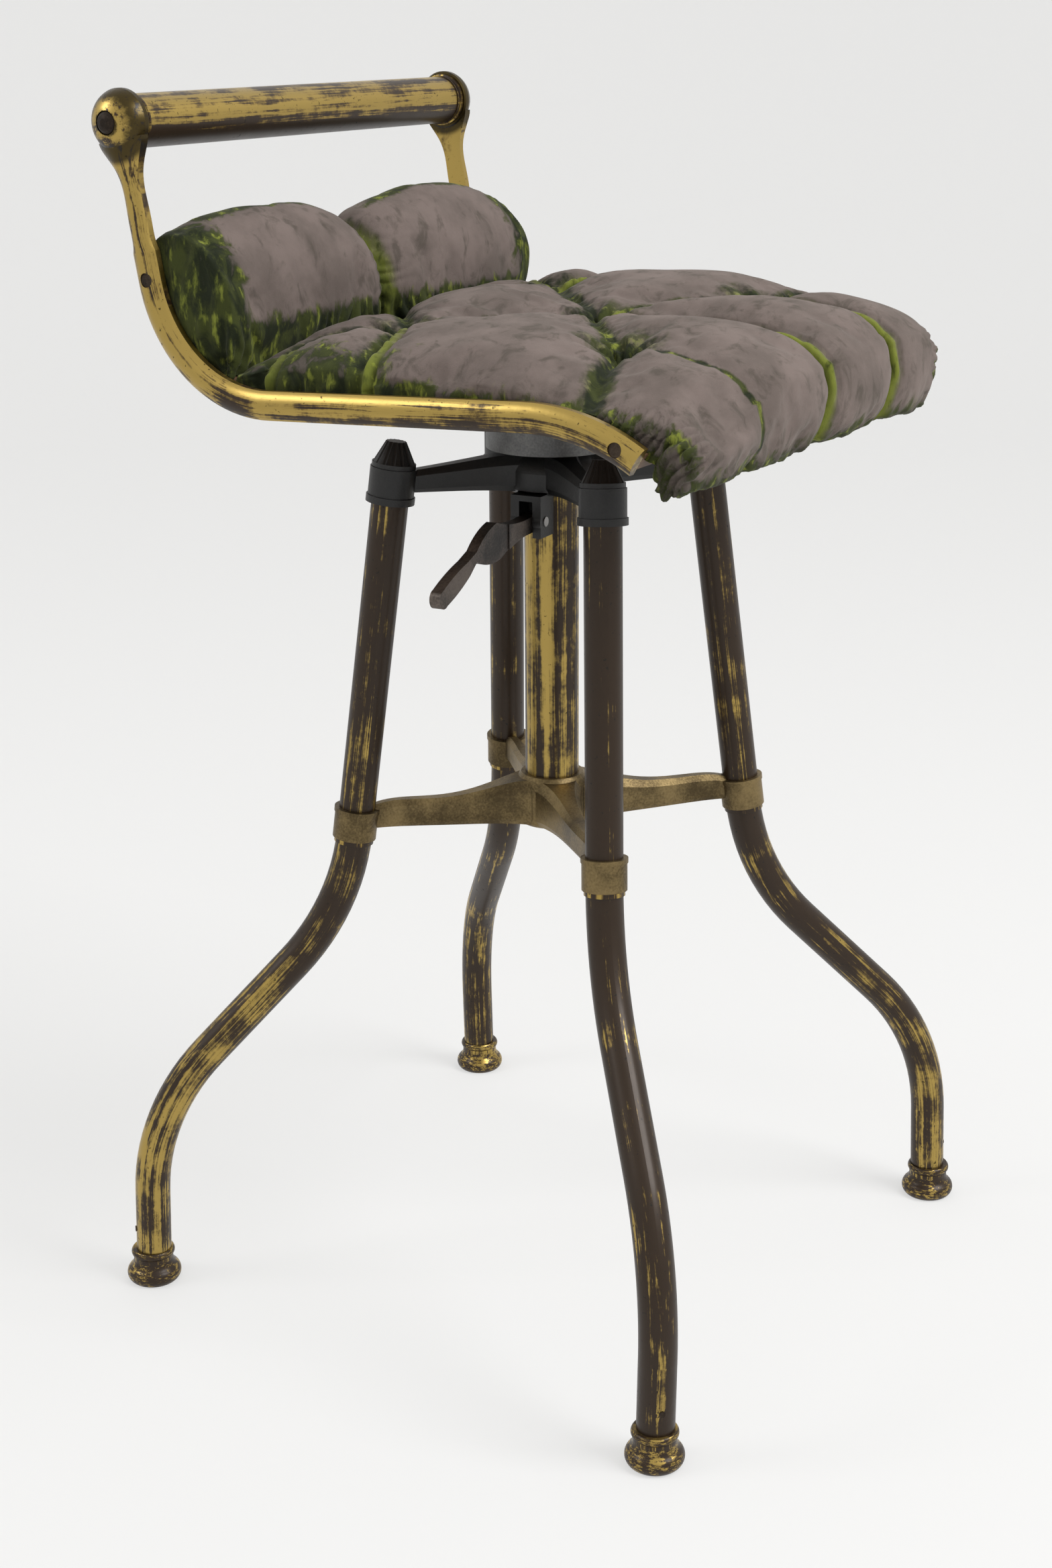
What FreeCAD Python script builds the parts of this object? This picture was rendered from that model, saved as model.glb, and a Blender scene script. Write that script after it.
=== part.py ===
import FreeCAD, Part
import math
import os
import Sketcher

# Revolving piano stool. Millimetres and degrees, +Z up, the origin on the floor below the column.
# The seat looks towards -Y and the sitter's left hand is at +X.

Vector = FreeCAD.Vector
Placement = FreeCAD.Placement
Rotation = FreeCAD.Rotation
ACROSS = Vector(1, 0, 0)
ALONG = Vector(0, 1, 0)
UP = Vector(0, 0, 1)

# Driving dimensions: name, value, what it measures
DIMENSIONS = [
    ("foot_circle", 227.0, "radius of the circle through the four feet"),
    ("leg_od", 19.05, "leg tube outside diameter"),
    ("leg_bore", 15.85, "leg tube inside diameter"),
    ("leg_low", 55.5, "length of the straight above the foot"),
    ("leg_mid", 66.9, "length of the straight in the S bend"),
    ("bend_low", 117.5, "radius of the lower bend"),
    ("bend_high", 123.8, "radius of the upper bend"),
    ("slope_low", 1.9, "slope of the foot straight from upright"),
    ("slope_mid", 45.05, "slope of the middle straight from upright"),
    ("slope_high", 7.26, "slope of the top straight from upright"),
    ("leg_top", 444.5, "height of the leg's top end"),
    ("leg_lean", 1.52, "sideways lean of each leg"),
    ("lean_height", 286.0, "height about which a leg leans"),
    ("foot_height", 19.0, "height of a foot"),
    ("foot_floor", 3.0, "metal under the leg tube in a foot"),
    ("leg_lift", 3.6, "height of the tube's lower end"),
    ("spigot_top", 38.0, "height of the foot's spigot"),
    ("pin_height", 31.0, "height of the foot pin"),
    ("pin_od", 3.2, "diameter of the foot pin"),
    ("fit", 0.05, "gap on the radius between fitted pieces"),
    ("collar_height", 260.0, "height of the middle of the lower collars"),
    ("collar_od", 23.0, "lower collar diameter"),
    ("collar_long", 16.5, "lower collar length"),
    ("socket_foot", 431.5, "height of the bottom of the upper sockets"),
    ("socket_od", 23.6, "upper socket diameter"),
    ("socket_long", 18.0, "upper socket length"),
    ("socket_deep", 14.5, "depth of the leg bore in an upper socket"),
    ("nut_long", 13.2, "height of a leg cap nut"),
    ("nut_od", 22.4, "diameter of a cap nut at its foot"),
    ("nut_tip_od", 10.3, "diameter of a cap nut at its tip"),
    ("stud_od", 8.0, "diameter of the stud on top of a leg"),
    ("column_od", 28.5, "column tube outside diameter"),
    ("column_bore", 25.3, "column tube inside diameter"),
    ("column_foot", 258.0, "height of the column's lower end"),
    ("column_top", 446.0, "height of the column's upper end"),
    ("hub_top", 453.6, "height of the top of the upper hub"),
    ("bush_foot", 409.5, "height of the bottom of the guide bush"),
    ("post_od", 22.0, "seat post diameter"),
    ("post_foot", 266.0, "height of the lower end of the post"),
    ("post_top", 476.0, "height of the upper end of the post"),
    ("travel", 130.0, "rise of the seat"),
    ("guide_long", 12.0, "length of the guide ring on the post"),
    ("lever_bearing", 184.0, "direction of the lever, from +X towards +Y"),
    ("pivot_reach", 23.6, "lever pivot, from the column's axis"),
    ("pivot_height", 421.0, "height of the lever pivot"),
    ("cam_radius", 4.8, "radius of the lever's round root"),
    ("cam_throw", 1.2, "distance of the root's middle from its pivot"),
    ("cam_turn", 60.0, "angle of the throw below the line to the shoe"),
    ("lever_thick", 7.0, "thickness of the lever at its root"),
    ("lug_wide", 17.0, "width of the lever's lug"),
    ("shoe_od", 9.0, "diameter of the brake shoe"),
    ("plate_od", 67.0, "diameter of the seat plate's drum"),
    ("plate_foot", 455.4, "height of the bottom of the seat plate"),
    ("flange_od", 124.0, "diameter of the seat plate's flange"),
    ("flange_thick", 5.0, "thickness of the flange"),
    ("screw_circle", 52.0, "radius of the circle of plate screws"),
    ("boss_back", 153.5, "handrail axis behind the column's axis"),
    ("boss_height", 618.5, "height of the handrail's axis"),
    ("upright_lean", 10.5, "backward lean of the side bars' uprights"),
    ("seat_rake", 2.5, "rise of the seat towards the front"),
    ("rake_back", 49.0, "point on the seat line, behind the axis"),
    ("rake_height", 491.3, "height of the seat line at that point"),
    ("back_bend", 66.0, "radius of the bar's bend behind the seat"),
    ("front_bend", 105.0, "radius of the bar's bend at the front"),
    ("front_start", 69.0, "start of the front bend, before the axis"),
    ("front_dip", 31.0, "downward slope of the bar's front tip"),
    ("bar_inner", 138.9, "side bar's flat face, from the middle"),
    ("bar_wide", 14.0, "side bar's width"),
    ("bar_thick", 6.6, "side bar's thickness at its crown"),
    ("boss_inner", 138.0, "boss's flat face, from the middle"),
    ("boss_od", 31.2, "boss diameter"),
    ("boss_pole", 152.6, "outer pole of the boss, from the middle"),
    ("shell_thick", 8.0, "thickness of the bent seat shell"),
    ("shell_half", 138.7, "half the width of the seat shell"),
    ("shell_top", 555.0, "height of the shell's upper edge"),
    ("rail_od", 25.4, "handrail tube outside diameter"),
    ("rail_bore", 22.4, "handrail tube inside diameter"),
    ("rail_half", 134.0, "half the length of the handrail tube"),
    ("rod_od", 6.0, "tie rod diameter"),
    ("pad_half", 138.2, "half the width of the pads"),
    ("column_pitch", 72.0, "distance between rows of tufts across the seat"),
]


class Size:
    """A number and the sheet expression that it comes from."""

    def __init__(self, number, text):
        self.number = number
        self.text = text

    def __add__(self, other):
        return joined(self, "+", other)

    def __radd__(self, other):
        return joined(other, "+", self)

    def __sub__(self, other):
        return joined(self, "-", other)

    def __rsub__(self, other):
        return joined(other, "-", self)

    def __mul__(self, other):
        return joined(self, "*", other)

    def __rmul__(self, other):
        return joined(other, "*", self)

    def __truediv__(self, other):
        return joined(self, "/", other)

    def __neg__(self):
        return joined(0, "-", self)


def sized(value):
    """Give back a Size, also for a plain number."""
    if isinstance(value, Size):
        return value
    return Size(float(value), "({:.6f})".format(value))


def joined(left, sign, right):
    """Work out left and right, and write the same sum as an expression."""
    left = sized(left)
    right = sized(right)
    sums = {
        "+": left.number + right.number,
        "-": left.number - right.number,
        "*": left.number * right.number,
        "/": left.number / right.number if right.number else 0.0,
    }
    return Size(sums[sign], "({} {} {})".format(left.text, sign, right.text))


def sine(angle):
    return Size(math.sin(math.radians(angle.number)), "sin({} * 1 deg)".format(angle.text))


def cosine(angle):
    return Size(math.cos(math.radians(angle.number)), "cos({} * 1 deg)".format(angle.text))


def tangent(angle):
    return Size(math.tan(math.radians(angle.number)), "tan({} * 1 deg)".format(angle.text))


class Sheet:
    """The spreadsheet of driving dimensions, read by name."""

    def __init__(self, document):
        cells = document.addObject("Spreadsheet::Sheet", "sizes")
        self.values = {}
        for row, (name, value, meaning) in enumerate(DIMENSIONS, start=1):
            cells.set("A{}".format(row), meaning)
            cells.set("B{}".format(row), str(value))
            cells.setAlias("B{}".format(row), name)
            self.values[name] = value

    def __getattr__(self, name):
        return Size(self.values[name], "sizes." + name)


doc = FreeCAD.newDocument("piano_stool")
s = Sheet(doc)
doc.recompute()
nodes = {}


def node(name, item):
    """Name a finished piece, whose label names its file."""
    item.Label = name
    nodes[name] = item
    return item


def bind(item, **sizes):
    """Tie properties of an object to sizes."""
    for name, value in sizes.items():
        item.setExpression(name, sized(value).text)
    return item


def spot(x, y, z):
    """A vector of the present numbers of three sizes."""
    return Vector(sized(x).number, sized(y).number, sized(z).number)


# Sketches


def origin_item(body, role):
    return [item for item in body.Origin.OriginFeatures if item.Role == role][0]


def new_sketch(body, name, plane, offset=None):
    sketch = body.newObject("Sketcher::SketchObject", name)
    sketch.AttachmentSupport = [(origin_item(body, plane), "")]
    sketch.MapMode = "FlatFace"
    if offset:
        sketch.AttachmentOffset = offset
    return sketch


def arc_between(start, end, radius, side):
    """An arc of under a half circle whose centre is left (1) or right (-1) of the way."""
    chord = end - start
    middle = (start + end) * 0.5
    rise = math.sqrt(max(radius ** 2 - chord.Length ** 2 / 4, 0))
    normal = Vector(-chord.y, chord.x, 0)
    normal.normalize()
    centre = middle + normal * rise * side
    angles = [math.atan2(p.y - centre.y, p.x - centre.x) for p in (start, end)]
    if side < 0:
        angles.reverse()
    return Part.ArcOfCircle(Part.Circle(centre, UP, radius), angles[0], angles[1])


def place_point(sketch, edge, end, x, y):
    """Tie one end of an edge to its two sizes."""
    for value, kind, axis in ((x, "DistanceX", -2), (y, "DistanceY", -1)):
        if isinstance(value, Size):
            index = sketch.addConstraint(
                Sketcher.Constraint(kind, -1, 1, edge, end, value.number))
            sketch.setExpression("Constraints[{}]".format(index), value.text)
        else:
            sketch.addConstraint(Sketcher.Constraint("PointOnObject", edge, end, axis))


def outline(sketch, points, closed=True):
    """Draw lines and arcs. A point is (x, y) or, after an arc, (x, y, radius, side); 0 is the axis."""
    count = len(points)
    last = count if closed else count - 1
    ends = []
    for index in range(last):
        there = points[(index + 1) % count]
        start = spot(points[index][0], points[index][1], 0)
        end = spot(there[0], there[1], 0)
        if len(there) > 2:
            edge = sketch.addGeometry(arc_between(start, end, there[2].number, there[3]))
            turn = sketch.addConstraint(Sketcher.Constraint("Radius", edge, there[2].number))
            sketch.setExpression("Constraints[{}]".format(turn), there[2].text)
            ends.append((1, 2) if there[3] > 0 else (2, 1))
        else:
            edge = sketch.addGeometry(Part.LineSegment(start, end))
            ends.append((1, 2))
    for index in range(last):
        place_point(sketch, index, ends[index][0], points[index][0], points[index][1])
        if index + 1 < last or closed:
            following = (index + 1) % last
            sketch.addConstraint(Sketcher.Constraint(
                "Coincident", index, ends[index][1], following, ends[following][0]))
    if not closed:
        place_point(sketch, last - 1, ends[last - 1][1], points[-1][0], points[-1][1])
    return sketch


def rings(sketch, *diameters):
    """Draw circles about the sketch's origin."""
    for diameter in diameters:
        diameter = sized(diameter)
        circle = Part.Circle(Vector(0, 0, 0), UP, diameter.number / 2)
        edge = sketch.addGeometry(circle)
        sketch.addConstraint(Sketcher.Constraint("Coincident", edge, 3, -1, 1))
        index = sketch.addConstraint(
            Sketcher.Constraint("Diameter", edge, diameter.number))
        sketch.setExpression("Constraints[{}]".format(index), diameter.text)
    return sketch


# Features


def new_body(name):
    return doc.addObject("PartDesign::Body", name)


def pad(body, name, sketch, length, symmetric=False):
    feature = body.newObject("PartDesign::Pad", name)
    feature.Profile = sketch
    feature.Midplane = symmetric
    return bind(feature, Length=length)


def turned(name, points, axis="Z_Axis", plane="XZ_Plane"):
    """A body turned on a lathe from half of its section."""
    body = new_body(name)
    sketch = outline(new_sketch(body, name + "_section", plane), points)
    feature = body.newObject("PartDesign::Revolution", name + "_turning")
    feature.Profile = sketch
    feature.ReferenceAxis = (origin_item(body, axis), [""])
    feature.Angle = 360
    return body


def tube(name, outer, inner, foot, length):
    """A round bar or tube that stands on a height."""
    body = new_body(name)
    sketch = new_sketch(body, name + "_section", "XY_Plane")
    bind(sketch, **{"AttachmentOffset.Base.z": foot})
    rings(sketch, *([outer, inner] if inner else [outer]))
    pad(body, name + "_pad", sketch, length)
    return body


def rod(name, radius, length, placement):
    """A plain cylinder, placed."""
    cylinder = doc.addObject("Part::Cylinder", name)
    bind(cylinder, Radius=radius, Height=length)
    cylinder.Placement = placement
    return cylinder


def block(name, long, wide, high, placement):
    """A plain box, placed."""
    box = doc.addObject("Part::Box", name)
    bind(box, Length=long, Width=wide, Height=high)
    box.Placement = placement
    return box


def cone(name, low, high, length, placement):
    """A plain cone, placed."""
    taper = doc.addObject("Part::Cone", name)
    bind(taper, Radius1=low, Radius2=high, Height=length)
    taper.Placement = placement
    return taper


def fused(name, *pieces):
    fusion = doc.addObject("Part::MultiFuse", name)
    fusion.Shapes = list(pieces)
    return fusion


def cut(name, base, *tools):
    """Cut tools out of a base."""
    removal = doc.addObject("Part::Cut", name)
    removal.Base = base
    removal.Tool = tools[0] if len(tools) == 1 else fused(name + "_tools", *tools)
    return removal


def group(name, *pieces):
    """Separate solids kept as one node."""
    together = doc.addObject("Part::Compound", name)
    together.Links = list(pieces)
    return together


# Places on the legs. Each leg is drawn in the plane of its reach and height, then leaned and turned.

LEGS = {"front_left": -45, "back_left": 45, "back_right": 135, "front_right": -135}


def leg_line():
    """Corners of the leg's centre line, from the foot up: reach, height and any arc."""
    reach = s.foot_circle - s.leg_low * sine(s.slope_low)
    height = s.leg_low * cosine(s.slope_low)
    line = [(s.foot_circle - s.leg_lift * tangent(s.slope_low), s.leg_lift), (reach, height)]
    reach = reach - s.bend_low * (cosine(s.slope_low) - cosine(s.slope_mid))
    height = height + s.bend_low * (sine(s.slope_mid) - sine(s.slope_low))
    line.append((reach, height, s.bend_low, 1))
    reach = reach - s.leg_mid * sine(s.slope_mid)
    height = height + s.leg_mid * cosine(s.slope_mid)
    line.append((reach, height))
    reach = reach - s.bend_high * (cosine(s.slope_high) - cosine(s.slope_mid))
    height = height + s.bend_high * (sine(s.slope_mid) - sine(s.slope_high))
    line.append((reach, height, s.bend_high, -1))
    line.append((reach - (s.leg_top - height) * tangent(s.slope_high), s.leg_top))
    return line


LEG_LINE = leg_line()
UPPER_REACH, UPPER_HEIGHT = LEG_LINE[4][0], LEG_LINE[4][1]


def leg_frame(bearing):
    """From the leg's own plane to the stool."""
    lean = Placement(spot(0, 0, s.lean_height), Rotation(ACROSS, -s.leg_lean.number))
    sink = Placement(-spot(0, 0, s.lean_height), Rotation())
    return Placement(Vector(), Rotation(UP, bearing)) * lean * sink


def on_upper(bearing, height):
    """A frame on a leg's upper straight, with its Z axis up along the leg."""
    reach = UPPER_REACH - (height - UPPER_HEIGHT) * tangent(s.slope_high)
    tilt = Rotation(ALONG, -s.slope_high.number)
    return leg_frame(bearing) * Placement(spot(reach, 0, height), tilt)


def on_foot(bearing, height):
    """A frame on a leg's foot straight, with its Z axis up along the leg."""
    reach = s.foot_circle - height * tangent(s.slope_low)
    tilt = Rotation(ALONG, -s.slope_low.number)
    return leg_frame(bearing) * Placement(spot(reach, 0, height), tilt)


def lifted(frame, height):
    """A frame moved up along its own Z axis."""
    return frame * Placement(spot(0, 0, height), Rotation())


def make_leg(side, bearing, pin):
    """A bent tube, drilled for its foot pin."""
    body = new_body("leg_tube_" + side)
    spine = outline(new_sketch(body, "leg_spine_" + side, "XZ_Plane"), LEG_LINE, closed=False)
    section = new_sketch(body, "leg_section_" + side, "XY_Plane")
    bind(section, **{"AttachmentOffset.Base.x": LEG_LINE[0][0],
                     "AttachmentOffset.Base.z": LEG_LINE[0][1]})
    rings(section, s.leg_od, s.leg_bore)
    doc.recompute()
    pipe = body.newObject("PartDesign::AdditivePipe", "leg_pipe_" + side)
    pipe.Profile = section
    pipe.Spine = (spine, ["Edge{}".format(n + 1) for n in range(len(LEG_LINE) - 1)])
    body.Placement = leg_frame(bearing)
    node("leg_" + side, cut("leg_drilled_" + side, body, pin))


def make_foot(side, bearing, pin):
    """A turned foot with a spigot that goes up inside the leg."""
    name = "foot_" + side
    base, rim, waist = sized(12.6), sized(13.0), sized(10.8)
    body = turned(name + "_turned", [
        (0, 0), (base, 0), (rim, s.foot_height * 0.43, sized(5.2), 1),
        (waist, s.foot_height * 0.7, sized(6.0), -1), (waist, s.foot_height * 0.78),
        (waist, s.foot_height, sized(2.6), 1), (0, s.foot_height)])
    middle = leg_frame(bearing).multVec(spot(s.foot_circle, 0, 0))
    body.Placement = Placement(Vector(middle.x, middle.y, 0), Rotation(UP, bearing))
    seat = on_foot(bearing, s.foot_floor)
    bore = rod(name + "_bore", s.leg_od / 2 + s.fit, s.foot_height, seat)
    spigot = rod(name + "_spigot", s.leg_bore / 2 - 2 * s.fit,
                 s.spigot_top - s.foot_floor + 1, lifted(seat, -1))
    hollow = cut(name + "_hollow", body, bore)
    node(name, cut(name + "_drilled", fused(name + "_whole", hollow, spigot), pin))


def make_foot_pins():
    """Four radial pins that hold the feet in the legs."""
    pins = {}
    for side, bearing in LEGS.items():
        start = on_foot(bearing, s.pin_height) * Placement(Vector(2.5, 0, 0), Rotation(ALONG, 90))
        pins[side] = rod("foot_pin_" + side, s.pin_od / 2, s.leg_od / 2 - 2.0, start)
    node("foot_pins", group("foot_pin_set", *pins.values()))
    return pins


def make_collar_rings():
    """A thin seating ring on each leg, under the lower spider's collar."""
    pieces = []
    for side, bearing in LEGS.items():
        frame = lifted(on_upper(bearing, s.collar_height), -s.collar_long / 2 - 2.6)
        outer = rod("ring_outer_" + side, s.leg_od / 2 + 0.9, sized(2.4), frame)
        inner = rod("ring_inner_" + side, s.leg_od / 2 + 0.12, sized(2.4), frame)
        pieces.append(cut("collar_ring_" + side, outer, inner))
    node("collar_rings", group("collar_ring_set", *pieces))


# Spiders. An arm is drawn along +X and turned to the middle of its collar.


def arm_section(body, name, reach, foot, top, wide, bevel):
    """A bevelled upright section of an arm, at a reach from the axis."""
    sketch = new_sketch(body, name, "YZ_Plane")
    bind(sketch, **{"AttachmentOffset.Base.z": reach})
    half = sized(wide) / 2
    foot, top = sized(foot), sized(top)
    points = [
        (-half + bevel / 2, foot), (half - bevel / 2, foot), (half, foot + bevel),
        (half, top - 1.6 * bevel), (half - bevel, top), (-half + bevel, top),
        (-half, top - 1.6 * bevel), (-half, foot + bevel)]
    return outline(sketch, points)


def make_arm(name, arm, sleeves, swing, bearing):
    """One arm, tapered out to the sleeves round its leg."""
    body = new_body(name)
    sections = [arm_section(body, "{}_section_{}".format(name, n), *row) for n, row in enumerate(arm)]
    loft = body.newObject("PartDesign::AdditiveLoft", name + "_loft")
    loft.Profile = sections[0]
    loft.Sections = sections[1:]
    doc.recompute()
    to_arm = Placement(Vector(), Rotation(UP, -swing))
    for n, (frame, diameter, length) in enumerate(sleeves):
        circle = new_sketch(body, "{}_sleeve_{}".format(name, n), "XY_Plane", to_arm * frame)
        rings(circle, diameter)
        pad(body, "{}_sleeve_pad_{}".format(name, n), circle, length)
        doc.recompute()
    body.Placement = Placement(Vector(), Rotation(UP, bearing + swing))
    return body


def make_spider(name, hub, arm, height, sleeves):
    """A hub with four arms that end in sleeves round the legs."""
    middle = on_upper(0, height).Base
    swing = math.degrees(math.atan2(middle.y, middle.x))
    frames = [(lifted(on_upper(0, height), foot), wide, long) for foot, wide, long in sleeves]
    pieces = [turned(name + "_hub", hub)]
    for side, bearing in LEGS.items():
        pieces.append(make_arm("{}_arm_{}".format(name, side), arm, frames, swing, bearing))
    return fused(name + "_casting", *pieces)


def make_lower_spider():
    """The golden spider that ties the legs and holds the column's foot."""
    foot, top = sized(252.0), sized(280.0)
    hub = [(0, foot), (sized(15.5), foot), (sized(19.0), foot + 3.5, sized(3.5), 1),
           (sized(19.0), top - 8), (sized(16.6), top, sized(9.0), 1), (0, top)]
    arm = [(14.4, 253.6, 278.2, 25.4, 3.0), (23.0, 254.0, 277.0, 19.0, 3.0),
           (38.0, 254.4, 273.4, 13.0, 2.6), (64.0, 255.4, 270.4, 9.4, 2.0),
           (98.0, 256.4, 268.8, 7.4, 1.6)]
    sleeves = [(-s.collar_long / 2, s.collar_od, s.collar_long),
               (s.collar_long / 2 - 2.4, s.collar_od + 1.0, sized(2.4))]
    body = make_spider("lower_spider", hub, arm, s.collar_height, sleeves)
    tools = [rod("lower_seat", s.column_od / 2 + s.fit, sized(30.0), Placement(spot(0, 0, s.column_foot), Rotation())),
             rod("lower_hole", sized(5.1), sized(20.0), Placement(Vector(0, 0, 245), Rotation()))]
    for side, bearing in LEGS.items():
        frame = lifted(on_upper(bearing, s.collar_height), -s.collar_long)
        tools.append(rod("lower_bore_" + side, s.leg_od / 2 + s.fit, 2 * s.collar_long, frame))
    node("lower_spider", cut("lower_spider_bored", body, *tools))


def lever_frame(reach, height):
    """A frame whose X axis points outwards along the lever and whose Z axis is up."""
    turn = Placement(Vector(), Rotation(UP, s.lever_bearing.number))
    return turn * Placement(spot(reach, 0, height), Rotation())


SIDEWAYS = Placement(Vector(), Rotation(ACROSS, 90))
OUTWARDS = Placement(Vector(), Rotation(ALONG, 90))


def make_upper_spider():
    """The black spider with the leg sockets, the column's head and the lever's lug."""
    foot = sized(433.5)
    hub = [(0, foot), (sized(22.0), foot), (sized(24.0), foot + 2.0), (sized(24.0), foot + 11.0),
           (sized(17.5), s.hub_top, sized(14.0), 1), (0, s.hub_top)]
    arm = [(14.0, 434.0, 453.2, 26.0, 3.0), (24.0, 434.6, 452.9, 18.0, 3.0),
           (40.0, 435.4, 451.2, 13.0, 2.6), (62.0, 436.0, 448.6, 10.4, 2.0),
           (82.0, 436.4, 446.4, 9.0, 1.6)]
    sleeves = [(sized(0), s.socket_od, s.socket_long), (sized(0), s.socket_od + 1.4, sized(3.6))]
    body = make_spider("upper_spider", hub, arm, s.socket_foot, sleeves)
    half = s.lug_wide / 2
    lug = block("lever_lug", sized(14.4), s.lug_wide, sized(21.5),
                lever_frame(14.7, 413.0) * Placement(-spot(0, half, 0), Rotation()))
    nose = rod("lug_nose", sized(6.0), s.lug_wide,
               lever_frame(s.pivot_reach, s.pivot_height) * Placement(spot(0, half, 0), Rotation())
               * SIDEWAYS)
    whole = fused("upper_spider_whole", body, lug, nose)
    slot = s.lever_thick + 0.6
    tools = [
        rod("upper_column_seat", s.column_od / 2 + s.fit, s.column_top - 400, Placement(Vector(0, 0, 400.2), Rotation())),
        rod("upper_bush_hole", s.column_bore / 2, sized(60.0), Placement(Vector(0, 0, 400), Rotation())),
        block("lever_slot", sized(20.0), slot, sized(20.0),
              lever_frame(17.9, 411.5) * Placement(-spot(0, slot / 2, 0), Rotation())),
        rod("lever_pin_hole", sized(2.55), sized(30.0),
            lever_frame(s.pivot_reach, s.pivot_height) * Placement(Vector(0, 15, 0), Rotation())
            * SIDEWAYS),
        rod("shoe_hole", s.shoe_od / 2 + s.fit, sized(10.0),
            lever_frame(10.0, s.pivot_height) * OUTWARDS),
    ]
    for side, bearing in LEGS.items():
        frame = on_upper(bearing, s.socket_foot)
        tools.append(rod("upper_bore_" + side, s.leg_od / 2 + s.fit, s.socket_deep + 5, lifted(frame, -5)))
        tools.append(rod("stud_hole_" + side, s.stud_od / 2 + s.fit, s.socket_long + 5, frame))
    node("upper_spider", cut("upper_spider_bored", whole, *tools))


def make_cap_nuts():
    """A ribbed conical nut on each socket, and the plug and stud that it pulls on."""
    flutes = 14
    studs = []
    for side, bearing in LEGS.items():
        name = "leg_cap_nut_" + side
        frame = lifted(on_upper(bearing, s.socket_foot), s.socket_long + 0.1)
        base = rod(name + "_base", s.nut_od / 2, sized(2.4), frame)
        taper = cone(name + "_cone", s.nut_od / 2 - 0.6, s.nut_tip_od / 2, s.nut_long - 2.4,
                     lifted(frame, 2.4))
        tools = [rod(name + "_thread", s.stud_od / 2 + s.fit, s.nut_long - 3.2, lifted(frame, -0.1))]
        for n in range(flutes):
            turn = Placement(Vector(), Rotation(UP, 360.0 * n / flutes))
            lie = Placement(spot(s.nut_od / 2 + 0.25, 0, 2.6), Rotation(ALONG, -27.5))
            tools.append(rod("{}_flute_{}".format(name, n), sized(1.25), sized(13.0),
                             frame * turn * lie))
        node(name, cut(name + "_cut", fused(name + "_whole", base, taper), *tools))
        below = lifted(on_upper(bearing, s.leg_top), -26)
        plug = rod("plug_" + side, s.leg_bore / 2 - 2 * s.fit, sized(24.0), below)
        stud = rod("stud_" + side, s.stud_od / 2, sized(35.0), lifted(below, 4))
        studs.append(fused("leg_stud_" + side, plug, stud))
    node("leg_studs", group("leg_stud_set", *studs))


# Column, lever and brake


def make_column():
    """The column tube, its guide bush and its base plug."""
    tall = tube("column_plain", s.column_od, s.column_bore, s.column_foot + 0.1,
                s.column_top - s.column_foot - 0.2)
    window = rod("column_window", s.shoe_od / 2 + 2 * s.fit, sized(10.0),
                 lever_frame(8.0, s.pivot_height) * OUTWARDS)
    node("column_tube", cut("column_drilled", tall, window))
    bush = turned("bush_turned", [
        (s.post_od / 2 + s.fit, s.bush_foot), (s.column_bore / 2 - s.fit, s.bush_foot),
        (s.column_bore / 2 - s.fit, s.hub_top + 0.05), (sized(15.6), s.hub_top + 0.05),
        (sized(15.6), s.hub_top + 1.2), (s.post_od / 2 + s.fit, s.hub_top + 1.2)])
    opening = rod("bush_window", s.shoe_od / 2 + 2 * s.fit, sized(10.0),
                  lever_frame(8.0, s.pivot_height) * OUTWARDS)
    node("guide_bush", cut("bush_drilled", bush, opening))
    plug = turned("base_plug_turned", [
        (0, sized(249.5)), (sized(8.5), sized(249.5)), (sized(8.5), sized(251.9)),
        (sized(5.0), sized(251.9)), (sized(5.0), s.column_foot + 0.1),
        (s.column_bore / 2 - s.fit, s.column_foot + 0.1), (s.column_bore / 2 - s.fit, sized(261.0)),
        (0, sized(261.0))])
    node("column_base_plug", plug)


def make_lever():
    """A flat lever with a round root, a leaf blade, a narrow neck and a flattened grip."""
    body = new_body("lever_forging")
    face = new_sketch(body, "lever_face", "XZ_Plane")
    root = s.cam_radius
    middle = (-s.cam_throw * cosine(s.cam_turn), -s.cam_throw * sine(s.cam_turn))
    points = [
        (middle[0] + root * 0.5, middle[1] + root * 0.866, root, -1), (sized(12.0), sized(2.6)), (sized(42.0), sized(7.0), sized(90.0), 1),
        (sized(63.0), sized(-3.4), sized(42.0), -1), (sized(72.0), sized(-6.6)),
        (sized(97.0), sized(-15.4), sized(120.0), -1), (sized(100.4), sized(-19.8), sized(4.2), -1),
        (sized(93.0), sized(-23.6), sized(4.6), -1), (sized(70.0), sized(-13.8), sized(110.0), -1),
        (sized(63.0), sized(-8.6)), (sized(38.0), sized(-11.8), sized(40.0), -1),
        (sized(12.0), sized(-5.4), sized(90.0), 1), (middle[0] + root * 0.5, middle[1] - root * 0.866),
        (middle[0] - root, middle[1], root, -1)]
    outline(face, points)
    pad(body, "lever_plate", face, s.lever_thick, symmetric=True)
    body.Placement = lever_frame(s.pivot_reach, s.pivot_height)
    thin = []
    for n, away in enumerate((2.9, -8.9)):
        lie = Placement(Vector(30.0, away, -40.0), Rotation())
        thin.append(block("lever_thinning_{}".format(n), sized(80.0), sized(6.0), sized(60.0),
                          body.Placement * lie))
    hole = rod("lever_hole", sized(2.5) + 2 * s.fit, sized(20.0),
               body.Placement * Placement(Vector(0, 10, 0), Rotation()) * SIDEWAYS)
    node("clamp_lever", cut("lever_finished", body, hole, *thin))
    pin = rod("lever_pin_rod", sized(2.5), s.lug_wide + 1.0,
              lever_frame(s.pivot_reach, s.pivot_height)
              * Placement(spot(0, s.lug_wide / 2 + 0.5, 0), Rotation()) * SIDEWAYS)
    node("lever_pin", pin)


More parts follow.
